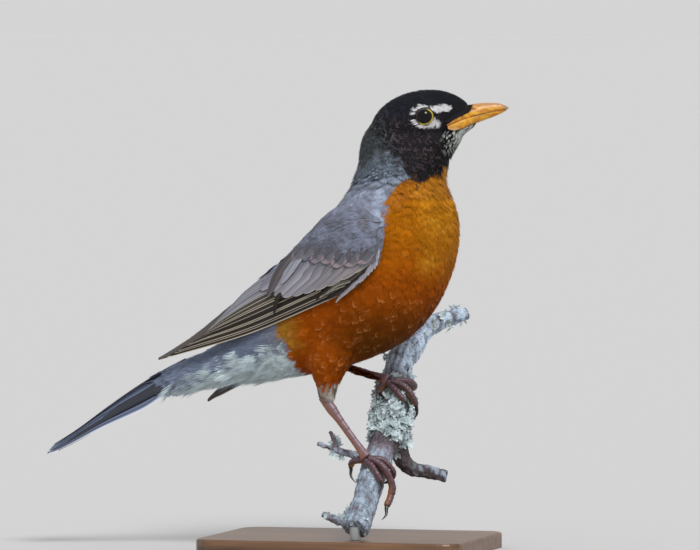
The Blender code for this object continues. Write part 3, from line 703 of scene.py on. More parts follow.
for number, (name, coat, spacing, length, half, lift, curl, stray, pattern) in enumerate(COAT):
    roots = scatter(body, spacing, lambda places: (region(places) == number) & ~bare(places), 20 + number)
    rng = np.random.default_rng(40 + number)
    long = length * rng.uniform(0.85, 1.15, len(roots))
    lines = lay_lines(body, roots, long, flow, 4)
    sizes = (
        long,
        half * rng.uniform(0.85, 1.15, len(roots)),
        coat_depth(roots),
        lift + rng.uniform(-0.12, 0.16, len(roots)) * min(length / 8, 1),
        curl * rng.uniform(0, 1, len(roots)),
        stray,
    )
    feather_piece(f"{name}_feathers", coat, pattern, *lines, sizes, markings, 60 + number)


def pale_tipped(points, chance):
    """Flank feathers whose tips are still edged with the buff of fresh plumage."""
    colour, rim, _ = markings(points, chance)
    return colour, rim, 0.08 + 0.34 * chance


roots = scatter(body, 3.4, lambda places: (region(places) == 4) & (places[:, 2] < 126) & ~bare(places), 31)
roots = roots[np.random.default_rng(32).random(len(roots)) < 0.5]
long = np.random.default_rng(33).uniform(10, 12, len(roots))
lines = lay_lines(body, roots, long, flow, 4)
sizes = (long, 1.9, 1.2, 0.14, 0.0, 0.05)
feather_piece("pale_edged_feathers", "rust", vane_pattern(6, 9, 0.95), *lines, sizes, pale_tipped, 34)


# ---------------------------------------------------------------- eyes and lids
# Glass eyes as a taxidermist sets them: near-black brown iris round a black pupil, under a clear bulge.
# A thin bare ring of skin closes round each, yellow in front and below and dark behind.


def ring_quads(rings, sides):
    """Quads between rings of points."""
    a, b = np.meshgrid(np.arange(rings - 1), np.arange(sides), indexing="ij")
    c = (b + 1) % sides
    quads = np.stack((a * sides + b, a * sides + c, (a + 1) * sides + c, (a + 1) * sides + b), axis=-1)
    return quads.reshape(-1, 4)


def revolve(centre, axis, up, profile, sides, squeeze=1.0):
    """A surface turned round an axis. profile gives radius and height along the axis."""
    axis, side = unit(axis), unit(np.cross(up, axis))
    top = np.cross(axis, side)
    angle = np.linspace(0, 2 * math.pi, sides, endpoint=False)
    ring = np.cos(angle)[:, None] * side + np.sin(angle)[:, None] * top * squeeze
    points = np.concatenate([centre + ring * radius + axis * height for radius, height in profile])
    return points, ring_quads(len(profile), sides), np.tile(angle, len(profile))


def closed_ends(points, quads, sides):
    """Caps for the first and last ring of a turned or swept surface."""
    first, last = np.arange(sides), np.arange(len(points) - sides, len(points))
    points = np.concatenate((points, [points[first].mean(0), points[last].mean(0)]))
    low, high = len(points) - 2, len(points) - 1
    caps = [(low, (k + 1) % sides, k) for k in range(sides)]
    caps += [(high, last[k], last[(k + 1) % sides]) for k in range(sides)]
    return points, quads, np.array(caps)


def tinted(name, look, points, faces, tint, slot, *replaced):
    """A piece whose colour is given for each of its points."""
    mesh = raw_mesh(name, points, faces)
    set_colours(mesh, "tint", np.clip(tint, 0.001, 0.95))
    return fitted(new_object(name, mesh, look), slot, *replaced)


def tint_look(name, grain, strength, rough, **finish):
    """A material that takes its colour from the piece and breaks it up with fine grain, in metres."""
    look, tree, shader = new_look(name, Roughness=rough, **finish)
    tint = add(tree, "ShaderNodeAttribute", attribute_name="tint")
    place = add(tree, "ShaderNodeTexCoord").outputs["Object"]
    flecks = {"Vector": place, "Scale": 1 / grain, "Detail": 4.0, "Roughness": 0.6}
    flecks = add(tree, "ShaderNodeTexNoise", flecks)
    grained(shader, tint, flecks, strength, relief=0.3, depth=0.0002)
    return look


# Polished glass gives one sharp highlight. The lids are dry skin, wrinkled 0.6 mm apart.
glass_look, tree, shader = new_look("glass_eye", Roughness=0.05, IOR=1.33)
wire(shader, {"Base Color": add(tree, "ShaderNodeAttribute", attribute_name="tint")})
lid_look = tint_look("lid_skin", grain=0.0006, strength=0.18, rough=0.5)
# Radius and height of the lid's ring, from its inner edge outwards.
LID = (
    (3.44, 2.84), (3.47, 3.02), (3.60, 3.08), (3.78, 3.00), (3.96, 2.76),
    (4.15, 2.4), (4.4, 1.9), (4.8, 1.2), (5.2, 0.3),
)
EYE_SIDES, LID_SIDES = 48, 64


def off_axis(points, centre, axis):
    return np.linalg.norm(np.cross(points - centre, axis), axis=1)


for sign, side in ((-1, "right"), (1, "left")):
    outward = BESIDE * sign
    centre = EYES[0 if sign < 0 else 1] - outward * 0.5
    rows = np.radians(np.concatenate((np.linspace(0.6, 60, 40), np.linspace(64, 179.4, 24))))
    bulge = 0.12 * (1 - ease(np.degrees(rows), 30, 52))
    profile = [((EYE_RADIUS + b) * math.sin(r), (EYE_RADIUS + b) * math.cos(r)) for r, b in zip(rows, bulge)]
    points, quads, _ = revolve(centre, outward, ABOVE, profile, EYE_SIDES)
    points, quads, caps = closed_ends(points, quads, EYE_SIDES)
    reach = off_axis(points, centre, outward)
    iris = layered("020203", ("0C0706", ease(reach, 2.1, 2.5) * 0.9), ("140C08", ease(reach, 2.9, 3.5)))
    faces = [quads[:, ::-1], caps[:, ::-1]]
    tinted(f"eyeball_{side}", glass_look, points, faces, iris, "eye_dark", f"eye_{side}")

    ring = spread(LID, np.linspace(0, 1, 26))
    points, quads, angle = revolve(centre, outward, ABOVE, ring, LID_SIDES, 0.9)
    reach = off_axis(points, centre, outward)
    points = points + outward * (0.55 * np.sin(angle) ** 2 * (1 - ease(reach, 3.3, 4.3)))[:, None]
    turn = np.degrees(np.arctan2((points - centre) @ ABOVE, (points - centre) @ AHEAD))
    tone = mix("2A2622", "AB9A30", window(turn, -158, -130, 42, 66))
    reach = off_axis(points, centre, outward)
    tone = mix(tone, "1A1717", ease(reach, 3.88, 4.15))
    creases = 0.04 * np.sin(angle * 22) * window(reach, 3.5, 3.7, 3.9, 4.2)
    points = points + outward * creases[:, None]
    tinted(f"lid_{side}", lid_look, points, [quads[:, ::-1]], tone, "leg_scales")


# ---------------------------------------------------------------- bill
# Horn over bone: two halves that meet along a thin dark mouth line, partly the horn's darker edge and partly
# painted shade in the seam. They are yellow-orange with a pinkish keel, a dusky tip, a nostril on each side
# and yellow folds of skin at the gape.

# Sections of the head at the bill's root, and of the bill's halves: place ahead, top, bottom, half width.
HEAD_SECTIONS = np.array((
    (6.0, 12.6, -15.2, 12.0), (12.5, 10.9, -13.9, 9.9), (18.5, 7.6, -11.6, 6.9), (23.3, 2.9, -9.3, 4.7),
    (26.0, -1.0, -7.8, 3.0),
))
UPPER_BILL = np.array((
    (12.0, -4.9, -5.7, 9.7), (15.2, -3.4, -4.9, 8.4), (19.4, -0.9, -4.2, 5.9), (24.0, 1.2, -3.8, 3.9),
    (28.5, 1.1, -3.6, 2.9), (33.2, 0.3, -3.5, 2.1), (37.6, -0.9, -3.5, 1.3), (41.0, -3.1, -3.9, 0.45),
))
LOWER_BILL = np.array((
    (12.2, -6.1, -7.4, 9.5), (15.2, -5.4, -8.9, 8.0), (19.4, -4.6, -8.5, 5.7), (24.0, -4.2, -7.6, 3.6),
    (28.5, -4.0, -6.9, 2.6), (33.0, -3.9, -6.2, 1.85), (37.0, -3.9, -5.4, 1.1), (40.0, -4.0, -4.5, 0.4),
))
BILL_RINGS, BILL_SIDES = 90, 36


def along_table(ahead, table, k):
    return np.interp(ahead, table[:, 0], table[:, k])


def hump(value, width):
    """1 at 0, and falling off smoothly over about the width on both sides."""
    return np.exp(-((value / width) ** 2))


def head_half_width(ahead, above):
    top, bottom, width = (along_table(ahead, HEAD_SECTIONS, k) for k in (1, 2, 3))
    share = (above - (top + bottom) / 2) / ((top - bottom) / 2)
    return width * np.sqrt(np.clip(1 - share**2, 0, 1))


def nostril(ahead, above, long, high):
    """1 in the middle of the nostril, a slit of that half length and half height."""
    slope = above + 0.6 + 0.2 * (ahead - 24.9)
    return np.exp(-(np.hypot((ahead - 24.9) / long, slope / high) ** 2))


def half_bill(name, sections, is_upper, look):
    rows = spread(sections, np.linspace(0, 1, BILL_RINGS) ** 0.9)
    ahead, top, bottom, width = (rows[:, k : k + 1] for k in range(4))
    angle = np.linspace(-math.pi / 2, math.pi / 2, BILL_SIDES)[None]
    edge, keel = (bottom - 0.2, top) if is_upper else (top + 0.16, bottom)
    up = edge + (keel - edge) * np.maximum(np.cos(angle), 0) ** 0.8
    left = width * np.sin(angle)
    cover = head_half_width(ahead, up) + 0.15
    fit = ease(-ahead, -24.5, -21) * ease(np.abs(np.sin(angle)), 0.3, 0.6)
    left = np.where(np.abs(left) < cover, left + (np.sign(left) * cover - left) * fit, left)
    ahead = ahead + 0 * angle
    if is_upper:
        left = left * (1 - 0.2 * nostril(ahead, up, 1.7, 0.36))
        up = up + 0.12 * hump(np.abs(left), width * 0.25) * window(ahead, 22, 26, 36, 41)
    groove = hump(up - edge, 0.35) * (1 - ease(ahead, 36, 40))
    left = left * (1 - 0.05 * groove)
    points = in_head(ahead, left, up).reshape(-1, 3)
    points, quads, caps = closed_ends(points, ring_quads(BILL_RINGS, BILL_SIDES), BILL_SIDES)
    f, _, u = head_places(points)
    patchy = ripple(points * (0.35, 1, 1), 1.6, 31)
    fine = ripple(points * (0.3, 1, 1), 0.5, 32)
    if is_upper:
        height = along_table(f, rows, 1) - u
        stain = ease(fine + patchy * 0.6, 0.55, 1.2) * (1 - ease(height, 0.9, 2.2)) * ease(f, 26, 30)
        own_marks = (
            ("B9835C", 0.8 * (1 - ease(height, 0.5, 1.5)) * ease(f, 23, 27)),
            ("5E3A2A", 0.8 * stain),
            # The nostril's dark slit is painted shade inside its opening.
            ("3E2410", 0.85 * nostril(f, u, 1.6, 0.3)),
        )
    else:
        own_marks = (
            ("D3A97F", ease(-f, -18.5, -14) * ease(-u, 6.6, 7.6)),
            ("E2A93A", ease(-f, -30, -20) * (1 - ease(-u, 5.6, 6.8)) * 0.5),
        )
    off = u - along_table(f, rows, 2 if is_upper else 1)
    folds = np.sin(off * 7.5) * ease(-f, -22.5, -17)
    tint = layered(
        "B87303",
        ("D29C1B", ease(patchy, -0.6, 1.0)),
        *own_marks,
        # The dark mouth line: partly the horn's darker edge, partly painted shade in the seam between the
        # halves.
        ("6B3E12", hump(off, 0.28) * (0.15 + 0.35 * ease(fine, -0.2, 0.8))),
        ("6A3E1C", 0.5 * ease(fine, 0.75, 1.1) * hump(off, 1.0) * window(f, 22, 26, 31, 35)),
        ("A8650C", 0.45 * ease(folds, 0.1, 0.9)),
        ("7D6048", ease(f, 37.0, 41.5) * 0.75),
    )
    tinted(name, look, points, [quads, caps], tint, "bill_horn", name)


# Smooth keratin with a soft gloss, flecked 1.2 mm apart.
bill_gloss = dict(Coat_Weight=0.1, Coat_Roughness=0.25)
bill_look = tint_look("bill_horn", grain=0.0012, strength=0.12, rough=0.38, **bill_gloss)
half_bill("bill_upper", UPPER_BILL, True, bill_look)
half_bill("bill_lower", LOWER_BILL, False, bill_look)


# ---------------------------------------------------------------- nasal feathers
# Short black feathers at the base of the bill that point forward over its horn, up to the nostrils. They
# are laid from the forehead and the lores, on both sides.

# The feathers end on the bill along this line: places ahead, and heights.
FEATHER_LINE_F = (11.0, 12.0, 14.0, 16.5, 20.0, 22.2, 23.9, 25.0)
FEATHER_LINE_U = (-5.6, -5.0, -3.9, -2.9, -2.0, -1.1, 1.3, 3.0)
NASAL_COUNT = 560


def bill_half_width(ahead, above):
    top, bottom, width = (along_table(ahead, UPPER_BILL, k) for k in (1, 2, 3))
    share = np.clip((above - bottom) / (top - bottom), 0, 1) ** 1.25
    return np.maximum(width * np.sqrt(1 - share**2), head_half_width(ahead, above) + 0.15)


rng = np.random.default_rng(71)
place = rng.uniform(1.5, 7.0, NASAL_COUNT)
border_f, border_u = (np.interp(place, range(8), line) for line in (FEATHER_LINE_F, FEATHER_LINE_U))
hidden = rng.uniform(0.2, 2.2, NASAL_COUNT)
sign = np.where(rng.random(NASAL_COUNT) < 0.5, -1.0, 1.0)
reach = (0.7 + 1.1 * ease(border_f, 15, 22)) * rng.uniform(0.6, 1.15, NASAL_COUNT)
along = np.linspace(0, 1, 5)[:, None]
ahead = border_f - hidden + along * (hidden + reach)
above = border_u + 0.5 * hidden - along * (0.5 * hidden + 0.05 * reach)
above = np.where(ahead > 20, np.minimum(above, along_table(ahead, UPPER_BILL, 1) - 0.1), above)
places = in_head(ahead, sign * (bill_half_width(ahead, above) + 0.12 + 0.1 * along), above)
ways = unit(places[-1:] - places[:1]) + 0 * places
level = ease(above, -1.5, 3.0)[..., None]
outward = unit(BESIDE * sign[None, :, None] * (1 - 0.6 * level) + ABOVE * (0.25 + level))
outward = unit(outward - ways * (outward * ways).sum(-1, keepdims=True))
sizes = (hidden + reach, 0.27, 0.15, 0.12, 0.0, 0.08)
feather_piece("nasal_feathers", "black", FINE, places, outward, ways, sizes, markings, 72)


# ---------------------------------------------------------------- wings
# A folded wing is a fan of stiff flight feathers stacked over each other, with rows of shorter coverts
# laid over their roots. The upper one of two covers the lower, so each shows as a strip with a pale edge.

DROOP = math.radians(12.3)  # the left wing hangs lower than the right
SHOULDER = np.array((15.0, 150.0))


def turned(places, angle):
    """Places on a wing, along X and up, turned about the shoulder."""
    off = places - SHOULDER
    x = off[..., 0] * math.cos(angle) - off[..., 1] * math.sin(angle)
    z = off[..., 0] * math.sin(angle) + off[..., 1] * math.cos(angle)
    return np.stack((x, z), axis=-1) + SHOULDER


def drooped(places, sign):
    """Places on the right wing as they lie on the wing of a side."""
    return turned(places, DROOP) if sign > 0 else places


def level_view(points):
    """Points in the side view, along X and up, with the left wing brought level with the right one."""
    flat = points[:, [0, 2]]
    return np.where(points[:, 1:2] > 0, turned(flat, -DROOP), flat)


FILL_STEPS, SOFT_STEPS = 414, 6  # rounds that carry a wing's face past its edges, and that soften it


class WingFace:
    """The outer and inner face of a folded wing: how far out each lies at every place in the side view."""

    GRAIN, LOW_X, LOW_Z, COUNT_X, COUNT_Z = 1.0, -106.0, 54.0, 146, 120

    def __init__(self, side, sign):
        self.sign = sign
        self.shell = Surface((f"wing_{side}",), grain=0.6, rounds=3)
        outer = np.full((self.COUNT_X, self.COUNT_Z), np.nan)
        inner = outer.copy()
        for i in range(self.COUNT_X):
            for j in range(self.COUNT_Z):
                x, z = self.LOW_X + i * self.GRAIN, self.LOW_Z + j * self.GRAIN
                hit = self.shell.tree.ray_cast((x, sign * 80.0, z), (0, -sign, 0))
                if hit[0] is not None:
                    outer[i, j] = hit[0][1] * sign
                    inner[i, j] = self.shell.tree.ray_cast((x, 0, z), (0, sign, 0))[0][1] * sign
        self.outer, self.inner = self.filled(outer), self.filled(inner)

    @staticmethod
    def filled(field):
        """The field carried on smoothly past the wing's edges, and softened a little at the end."""
        known = ~np.isnan(field)
        field = np.where(known, field, np.nanmean(field))
        for step in range(FILL_STEPS + SOFT_STEPS):
            padded = np.pad(field, 1, mode="reflect", reflect_type="odd")
            soft = (padded[2:, 1:-1] + padded[:-2, 1:-1] + padded[1:-1, 2:] + padded[1:-1, :-2]) / 4
            field = np.where(known & (step < FILL_STEPS), field, soft)
        return field

    def at(self, places, lift):
        """Points over the outer face, and outward normals."""
        places = drooped(np.asarray(places, float), self.sign)
        u = np.clip((places[..., 0] - self.LOW_X) / self.GRAIN, 0, self.COUNT_X - 2.001)
        v = np.clip((places[..., 1] - self.LOW_Z) / self.GRAIN, 0, self.COUNT_Z - 2.001)
        i, j = u.astype(int), v.astype(int)
        s, t = u - i, v - j
        a, b, c, d = (self.outer[i + k, j + m] for m in (0, 1) for k in (0, 1))
        out = a * (1 - s) * (1 - t) + b * s * (1 - t) + c * (1 - s) * t + d * s * t
        slope_x = ((b - a) * (1 - t) + (d - c) * t) / self.GRAIN
        slope_z = ((c - a) * (1 - s) + (d - b) * s) / self.GRAIN
        normal = unit(np.stack((-slope_x, np.full_like(out, self.sign), -slope_z), axis=-1))
        normal[..., 1] = np.abs(normal[..., 1]) * self.sign
        points = np.stack((places[..., 0], out * self.sign, places[..., 1]), axis=-1)
        return points + normal * np.asarray(lift)[..., None], normal


BLADE_ROWS = 30
# Places across a blade from its inner edge to its outer one, closer together where the pale edge lies.
BLADE_ACROSS = np.array((-1.0, -0.8, -0.5, -0.2, -0.05, 0.05, 0.2, 0.4, 0.58, 0.72, 0.84, 0.93, 1.0))


def blade_places(centre, half, blunt):
    """A feather in the side view: its middle line and its half width to the lower edge, each at three or
    more places. Its tip rounds off from the share blunt of its length."""
    t = np.linspace(0, 1, BLADE_ROWS) ** 0.85
    middle, half = spread(centre, t), spread(half, t)
    taper = np.sqrt(np.clip(1 - np.clip((t - blunt) / (1 - blunt), 0, 1) ** 2.2, 0.0004, 1))
    taper = taper * np.minimum(t / 0.1 + 0.4, 1)
    return middle[:, None] + half[:, None] * (taper[:, None] * BLADE_ACROSS)[..., None], t


def blade_piece(name, coat, blades):
    """Stiff feathers as one mesh. Each blade gives its points and normals in rows and its colours."""
    rows, columns, count = BLADE_ROWS, len(BLADE_ACROSS), len(blades)
    points, normals, colours = (np.array([blade[k] for blade in blades]) for k in range(3))
    size = rows * columns
    quads = strip_quads(rows, columns)[:, (0, 3, 2, 1)]
    faces = (quads[None] + (np.arange(count) * size)[:, None, None]).reshape(-1, 4)
    # On one side of the bird the blades run the other way round, and their faces are turned outwards.
    facing = np.cross(points[0, 3, 8] - points[0, 3, 2], points[0, 8, 5] - points[0, 3, 5])
    if facing @ normals[0, 3, 5] < 0:
        faces = faces[:, ::-1]
    mesh = raw_mesh(name, points.reshape(-1, 3), [faces])
    for layer in ("plume", "rim"):
        set_colours(mesh, layer, np.clip(colours.reshape(-1, 3), 0.002, 0.95))
    set_traits(mesh, np.random.default_rng(count).random(count), np.zeros(count), size)
    flat = np.meshgrid(np.linspace(0, 1, rows), BLADE_ACROSS / 2 + 0.5, indexing="ij")
    flat = np.stack(flat[::-1], axis=-1).reshape(-1, 2)
    set_map(mesh, "vane", np.tile(flat, (count, 1)))
    cells = math.ceil(math.sqrt(count))
    cell = np.column_stack((np.arange(count) % cells, np.arange(count) // cells))
    set_map(mesh, "OFBake", ((cell[:, None] + 0.06 + 0.88 * flat[None]) / cells).reshape(-1, 2))
    mesh.normals_split_custom_set_from_vertices(unit(normals.reshape(-1, 3)).tolist())
    return fitted(new_object(name, mesh, PLUMAGE[coat]), f"plumage_{coat}")


def vane_hues(t, inner, outer, edge, shaft, edge_width=0.1, tip_width=0.0):
    """Colours over a blade: inner and outer web, a pale outer edge and tip, and the shaft."""
    u = BLADE_ACROSS[None] + 0 * t[:, None]
    t = t[:, None] + 0 * u
    tone = mix(inner, outer, ease(u, -0.1, 0.6))
    pale = ease(u, 1 - 2 * edge_width, 1 - edge_width)
    pale = np.maximum(pale, ease(t + 0.1 * np.abs(u), 1 - tip_width, 1 - tip_width / 2) if tip_width else 0)
    return layered(tone, (edge, pale), (shaft, hump(u, 0.09) * 0.8))


def covert(face, root, tip, half, blunt, lift, hues, bend):
    """A blade from root to tip, that bows towards the bird's front by bend."""
    root, tip = np.array(root), np.array(tip)
    way = unit(tip - root)
    across = np.array((-way[1], way[0]))  # towards the leading edge
    centre = np.array((root, (root + tip) / 2 + across * bend, tip))
    places, t = blade_places(centre, np.array((across, across, across)) * half, blunt)
    rise = lift + 0.14 * BLADE_ACROSS[None] + 0.25 * (1 - BLADE_ACROSS[None] ** 2) + 0 * t[:, None]
    points, normals = face.at(places, rise - 0.5 * (1 - np.minimum(t / 0.3, 1))[:, None])
    return points, normals, vane_hues(t, *hues)


# The smooth line of back and folded wing, on the right side: places along X, and the height at each.
BACK_LINE_X = (-96, -87, -76, -66, -61, -54, -47, -40, -33, -26, -19.5, -13.6, -6.6, -2, 5, 30)
BACK_LINE_Z = (
    84.4, 88, 93.5, 98.9, 103.4, 111.3, 119.1, 124.7,
    130.3, 135.3, 141.5, 147.1, 154.9, 160.6, 169.5, 200,
)
PRESS = 5.0  # feathers less than this far below the line are pressed together


def press(obj):
    """Keeps a piece of wing below the smooth line of the back, by pressing its topmost feathers down."""
    points, _ = read_mesh(obj.data)
    x, z = level_view(points).T
    over = z - np.interp(x, BACK_LINE_X, BACK_LINE_Z) + PRESS
    down = np.where(over > 0, over - PRESS * np.tanh(over / PRESS), 0)
    points[:, 2] -= down * np.where(points[:, 1] > 0, 0.9, 1.0)
    obj.data.vertices.foreach_set("co", (points * MM).ravel())


# The fan of flight feathers: for each key feather, three places on its lower edge from root to tip.
FAN_KEYS = (-2.0, -1.0, 0.0, 0.5, 1.0)
FAN = np.array((
    ((-22.0, 131.0), (-44.0, 119.0), (-63.0, 102.3)),
    ((-20.0, 127.6), (-44.0, 115.4), (-63.5, 100.6)),
    ((-12.0, 120.5), (-41.0, 108.8), (-66.5, 97.6)),
    ((0.0, 120.8), (-40.0, 104.2), (-77.5, 92.0)),
    ((12.0, 120.4), (-40.0, 99.8), (-87.4, 86.2)),
))
# Each flight feather's place in the fan, from the outermost primary to the innermost tertial.
FAN_PLACES = (1.0, 0.85, 0.69, 0.52, 0.36, 0.19, 0.0, -0.18, -0.36, -0.55, -0.76, -1.0, -1.28, -1.6, -2.0)
# Tips of the greater coverts, from the rear one to the front one, and of the median coverts.
GREATER_TIPS = (
    (-37.5, 118.5), (-33.0, 117.6), (-28.4, 116.4), (-23.6, 116.2), (-18.6, 117.2),
    (-13.4, 118.6), (-7.8, 120.4), (-2.2, 122.4), (3.4, 125.2), (8.6, 128.6),
)
MEDIAN_TIPS = (
    (-20.6, 132.2), (-14.8, 133.2), (-9.0, 132.0), (-3.4, 132.0),
    (1.8, 130.6), (7.4, 131.2), (12.6, 132.6),
)
LEADING_EDGE = ((22.0, 139.0), (21.4, 136.0), (20.0, 132.6), (17.0, 128.4), (12.0, 123.6), (6.8, 119.2))
# Feathers of the hand that lie between the greater coverts and the leading edge: root and tip.
HAND = (
    ((18.4, 133.6), (6.4, 122.6)),
    ((19.0, 130.6), (2.6, 117.4)),
    ((19.2, 132.0), (-2.0, 115.9)),
    ((18.5, 133.5), (-7.0, 115.9)),
)
# Single coverts that lie out of their row, the last two curled; the third is a dark blade that is a painted
# shadow in a notch where feathers overlap: root, tip, half width, bluntness, lift, colours and bend.
CURLED = ("5E5A50", "8A8678", "A8A496", "4A463E", 0.1, 0.1)
STRAYS = (
    ((-21.5, 135.5), (-31.8, 115.4), 2.5, 0.55, 1.75, ("4B4548", "5B5458", "67605F", "3E393B", 0.08), -1.2),
    ((-14.5, 136.5), (-25.0, 121.5), 2.6, 0.3, 1.6, ("8C8D98", "9496A2", "A7A7B0", "777884"), 0.2),
    # A painted shadow: a dark blade in the notch where the secondaries' tips overlap.
    ((-24.8, 118.4), (-27.6, 108.6), 1.3, 0.3, 1.5, ("241E1A", "2E2722", "2E2722", "2A2523"), -0.4),
    ((9.5, 124.6), (-1.6, 118.6), 0.62, 0.5, 1.6, CURLED, -1.1),
    ((7.0, 122.6), (-5.0, 116.8), 0.5, 0.5, 1.5, CURLED, -0.6),
)


def fan_line(q):
    return np.array([[np.interp(q, FAN_KEYS, FAN[:, i, j]) for j in range(2)] for i in range(3)])


def flight_blade(face, k, q, rng):
    """The flight feather at a place in the fan, each with its own width, tone and edge."""
    low, high = fan_line(q), fan_line(q - 0.66)
    if q < -1.4:
        high = low + (low - fan_line(q + 0.6)) * (0.9, 1.0)
    places, t = blade_places((low + high) / 2, (low - high) / 2, 0.90 if q > 0 else 0.93)
    rise = -0.35 + 0.072 * k + 0.16 * BLADE_ACROSS[None] + 0.12 * (1 - BLADE_ACROSS[None] ** 2)
    rise = rise + 0 * t[:, None]
    points, normals = face.at(places, rise - 0.6 * (1 - np.minimum(t / 0.2, 1))[:, None])
    tertial, secondary = ease(-q, 0.4, 0.8), ease(-q, -0.15, 0.1)
    inner, outer, edge = (
        layered(first, (second, secondary), (third, tertial))
        for first, second, third in (
            ("2A2523", "2A2622", "6C6C75"),
            ("2B2621", "443F38", "8A8A93"),
            ("B0A697", "B2AA99", "A6A3A4"),
        )
    )
    edge = edge * rng.uniform(0.65, 1.2)
    width = 0.075 - 0.02 * tertial + 0.03 * rng.uniform(-1, 1)
    wave = 1 + (0.2 - 0.14 * tertial) * rng.normal()
    return points, normals, vane_hues(t, inner, outer * wave, edge, mix("2A2523", "5E5E66", tertial), width)


def wing_core(face, sign):
    """Flesh and quills inside the wing: the solid wing, thinner and drawn in from its edges."""
    points = face.shell.points * (1, sign, 1)
    flat = points[:, [0, 2]]
    i = np.clip(flat[:, 0] - face.LOW_X, 0, face.COUNT_X - 1).astype(int)
    j = np.clip(flat[:, 1] - face.LOW_Z, 0, face.COUNT_Z - 1).astype(int)
    inner = face.inner[i, j]
    points[:, 1] = inner + 0.15 + (points[:, 1] - inner) * 0.35
    line = np.array(((20.0, 147.0), (-20.0, 124.0), (-86.0, 87.0)))
    line = spread(drooped(line, sign), np.linspace(0, 1, 200))
    near = ((flat[:, None] - line[None]) ** 2).sum(2).argmin(1)
    points[:, [0, 2]] = line[near] + (flat - line[near]) * 0.86
    return points * (1, sign, 1)


def small_coverts(places, face):
    """Where the lesser coverts grow: on the outer face, above the median coverts."""
    flat = places[:, [0, 2]]
    flat = turned(flat, -DROOP) if face.sign > 0 else flat
    outside = face.at(flat, 0)[0][:, 1] * face.sign - places[:, 1] * face.sign < 1.2
    floor_z = np.interp(flat[:, 0], (-30, -20, 0, 12, 18, 24), (138.5, 137, 135.4, 135.6, 134.6, 137))
    return outside & (flat[:, 1] > floor_z) & (flat[:, 0] > -28)


def wing_way(places, normals, sign):
    x, z = drooped(np.array((14.2, 149.45)), sign) - SHOULDER
    return level_with(np.tile((x, 0.0, z), (len(places), 1)), normals)


def covert_hues(points, chance):
    tone = mix("696C78", "80869A", ease(ripple(points, 9, 8) + chance - 0.5, -0.8, 0.9))
    tone = mix(tone, "5C5354", ease(chance, 0.75, 0.95) * 0.6)
    return tone, tone * 1.35, 0.5 * chance


for sign, side in ((-1, "right"), (1, "left")):
    face = WingFace(side, sign)
    rng = np.random.default_rng(7)
    blades = []
    for k, q in enumerate(FAN_PLACES):
        q = q + rng.uniform(-0.06, 0.06) * (0 < k < 12)
        blades.append(flight_blade(face, k, q, rng))
    for k, (root, tip) in enumerate(HAND):
        hues = ("2A2523", "3A3234", "6E685F", "2A2523")
        blades.append(covert(face, root, tip, 1.6, 0.6, 0.3 + 0.08 * k, hues, 0.9))
    for k, tip in enumerate(reversed(GREATER_TIPS)):
        low = k / len(GREATER_TIPS)
        root = np.array(tip) + np.array((17.5, 15.2 + 0.25 * (k - 4))) * min(1.0, (20.5 - tip[0]) / 17.5)
        outer = mix("857E80", "9292A0", low) * (1 + 0.06 * rng.normal())
        hues = (outer * 0.6, outer, mix("A89E92", "A8A5A8", low), outer * 0.75, 0.085)
        blades.append(covert(face, root, tip, 2.9, 0.72, 0.6 + 0.07 * k, hues, 0.5))
    for stray in STRAYS:
        blades.append(covert(face, *stray))
    for k, tip in enumerate(MEDIAN_TIPS):
        hues = ("55535A", "636169", mix("736F77", "8F8085", ease(tip[0], -16, 2)), "48454A", 0.1, 0.36)
        root = np.array(tip) + (5.0, 6.0)
        blades.append(covert(face, root, tip, 3.1, 0.45, 1.45 + 0.03 * (6 - k), hues, 0.4))
    press(blade_piece(f"flight_feathers_{side}", "grey", blades))

    edge_line = spread(LEADING_EDGE, np.linspace(0, 1, 26))
    blades = []
    for spot, way in zip(edge_line, unit(np.gradient(edge_line, axis=0))):
        place = spot + way[::-1] * (1, -1) * rng.normal(0, 0.3)
        tip = place + way * rng.uniform(6, 7.5)
        hues = ("8A8490", "A7A3A9", "BDB8B6", "8B8484", 0.2, 0.2)
        blades.append(covert(face, place, tip, 0.42, 0.4, 1.0 + 0.03 * rng.normal(), hues, -0.3))
    blade_piece(f"wing_edge_{side}", "white", blades)

    core = raw_mesh(f"wing_core_{side}", wing_core(face, sign), [face.shell.triangles])
    # Its dark grey is painted shade: the underside of the left wing shows below the feathers there and lies
    # in shadow.
    set_colours(core, "plume", np.tile(linear("514C4A"), (len(core.vertices), 1)))
    fitted(new_object(core.name, core, skin_look), "plumage_grey", f"wing_{side}")

    roots = scatter(face.shell, 1.9, lambda places: small_coverts(places, face), 11)
    lines = lay_lines(face.shell, roots, 7.0, lambda places, normals: wing_way(places, normals, sign), 3)
    sizes = (7.0, 2.3, 0.2, 1.5 + rng.uniform(0, 0.4, len(roots)), 0.1, 0.06)
    press(feather_piece(f"lesser_coverts_{side}", "grey", LOOSE, *lines, sizes, covert_hues, 12))

# Scapulars grow from the shoulder over the gap between back and wing.
cloak = Surface(("neck", "trunk", "rump", "wing_right", "wing_left"), grain=1.3, rounds=6)
WING_TOP_X = (-90, -71, -56.5, -42.5, -28.5, -11, 8, 22.5)
WING_TOP_Z = (86, 98, 110.3, 122.8, 135.4, 150.8, 158, 152)


def scapular_place(places):
    x, z = level_view(places).T
    reach = np.interp(x, (-50, -30, -10, 10, 25), (0, 3, 9, 11, 4))
    return (z > np.interp(x, WING_TOP_X, WING_TOP_Z) - reach) & (x > -34) & (x < 24) & (places[:, 2] < 166)


def scapular_way(places, normals):
    return level_with(np.tile((-0.78, 0.0, -0.62), (len(places), 1)), normals)


def scapular_hues(points, chance):
    tone = mix("808698", "98A3B8", ease(ripple(points, 12, 9) + chance - 0.5, -0.8, 0.9))
    return tone, linear("8F93A0") + 0 * tone, 0.45 * chance


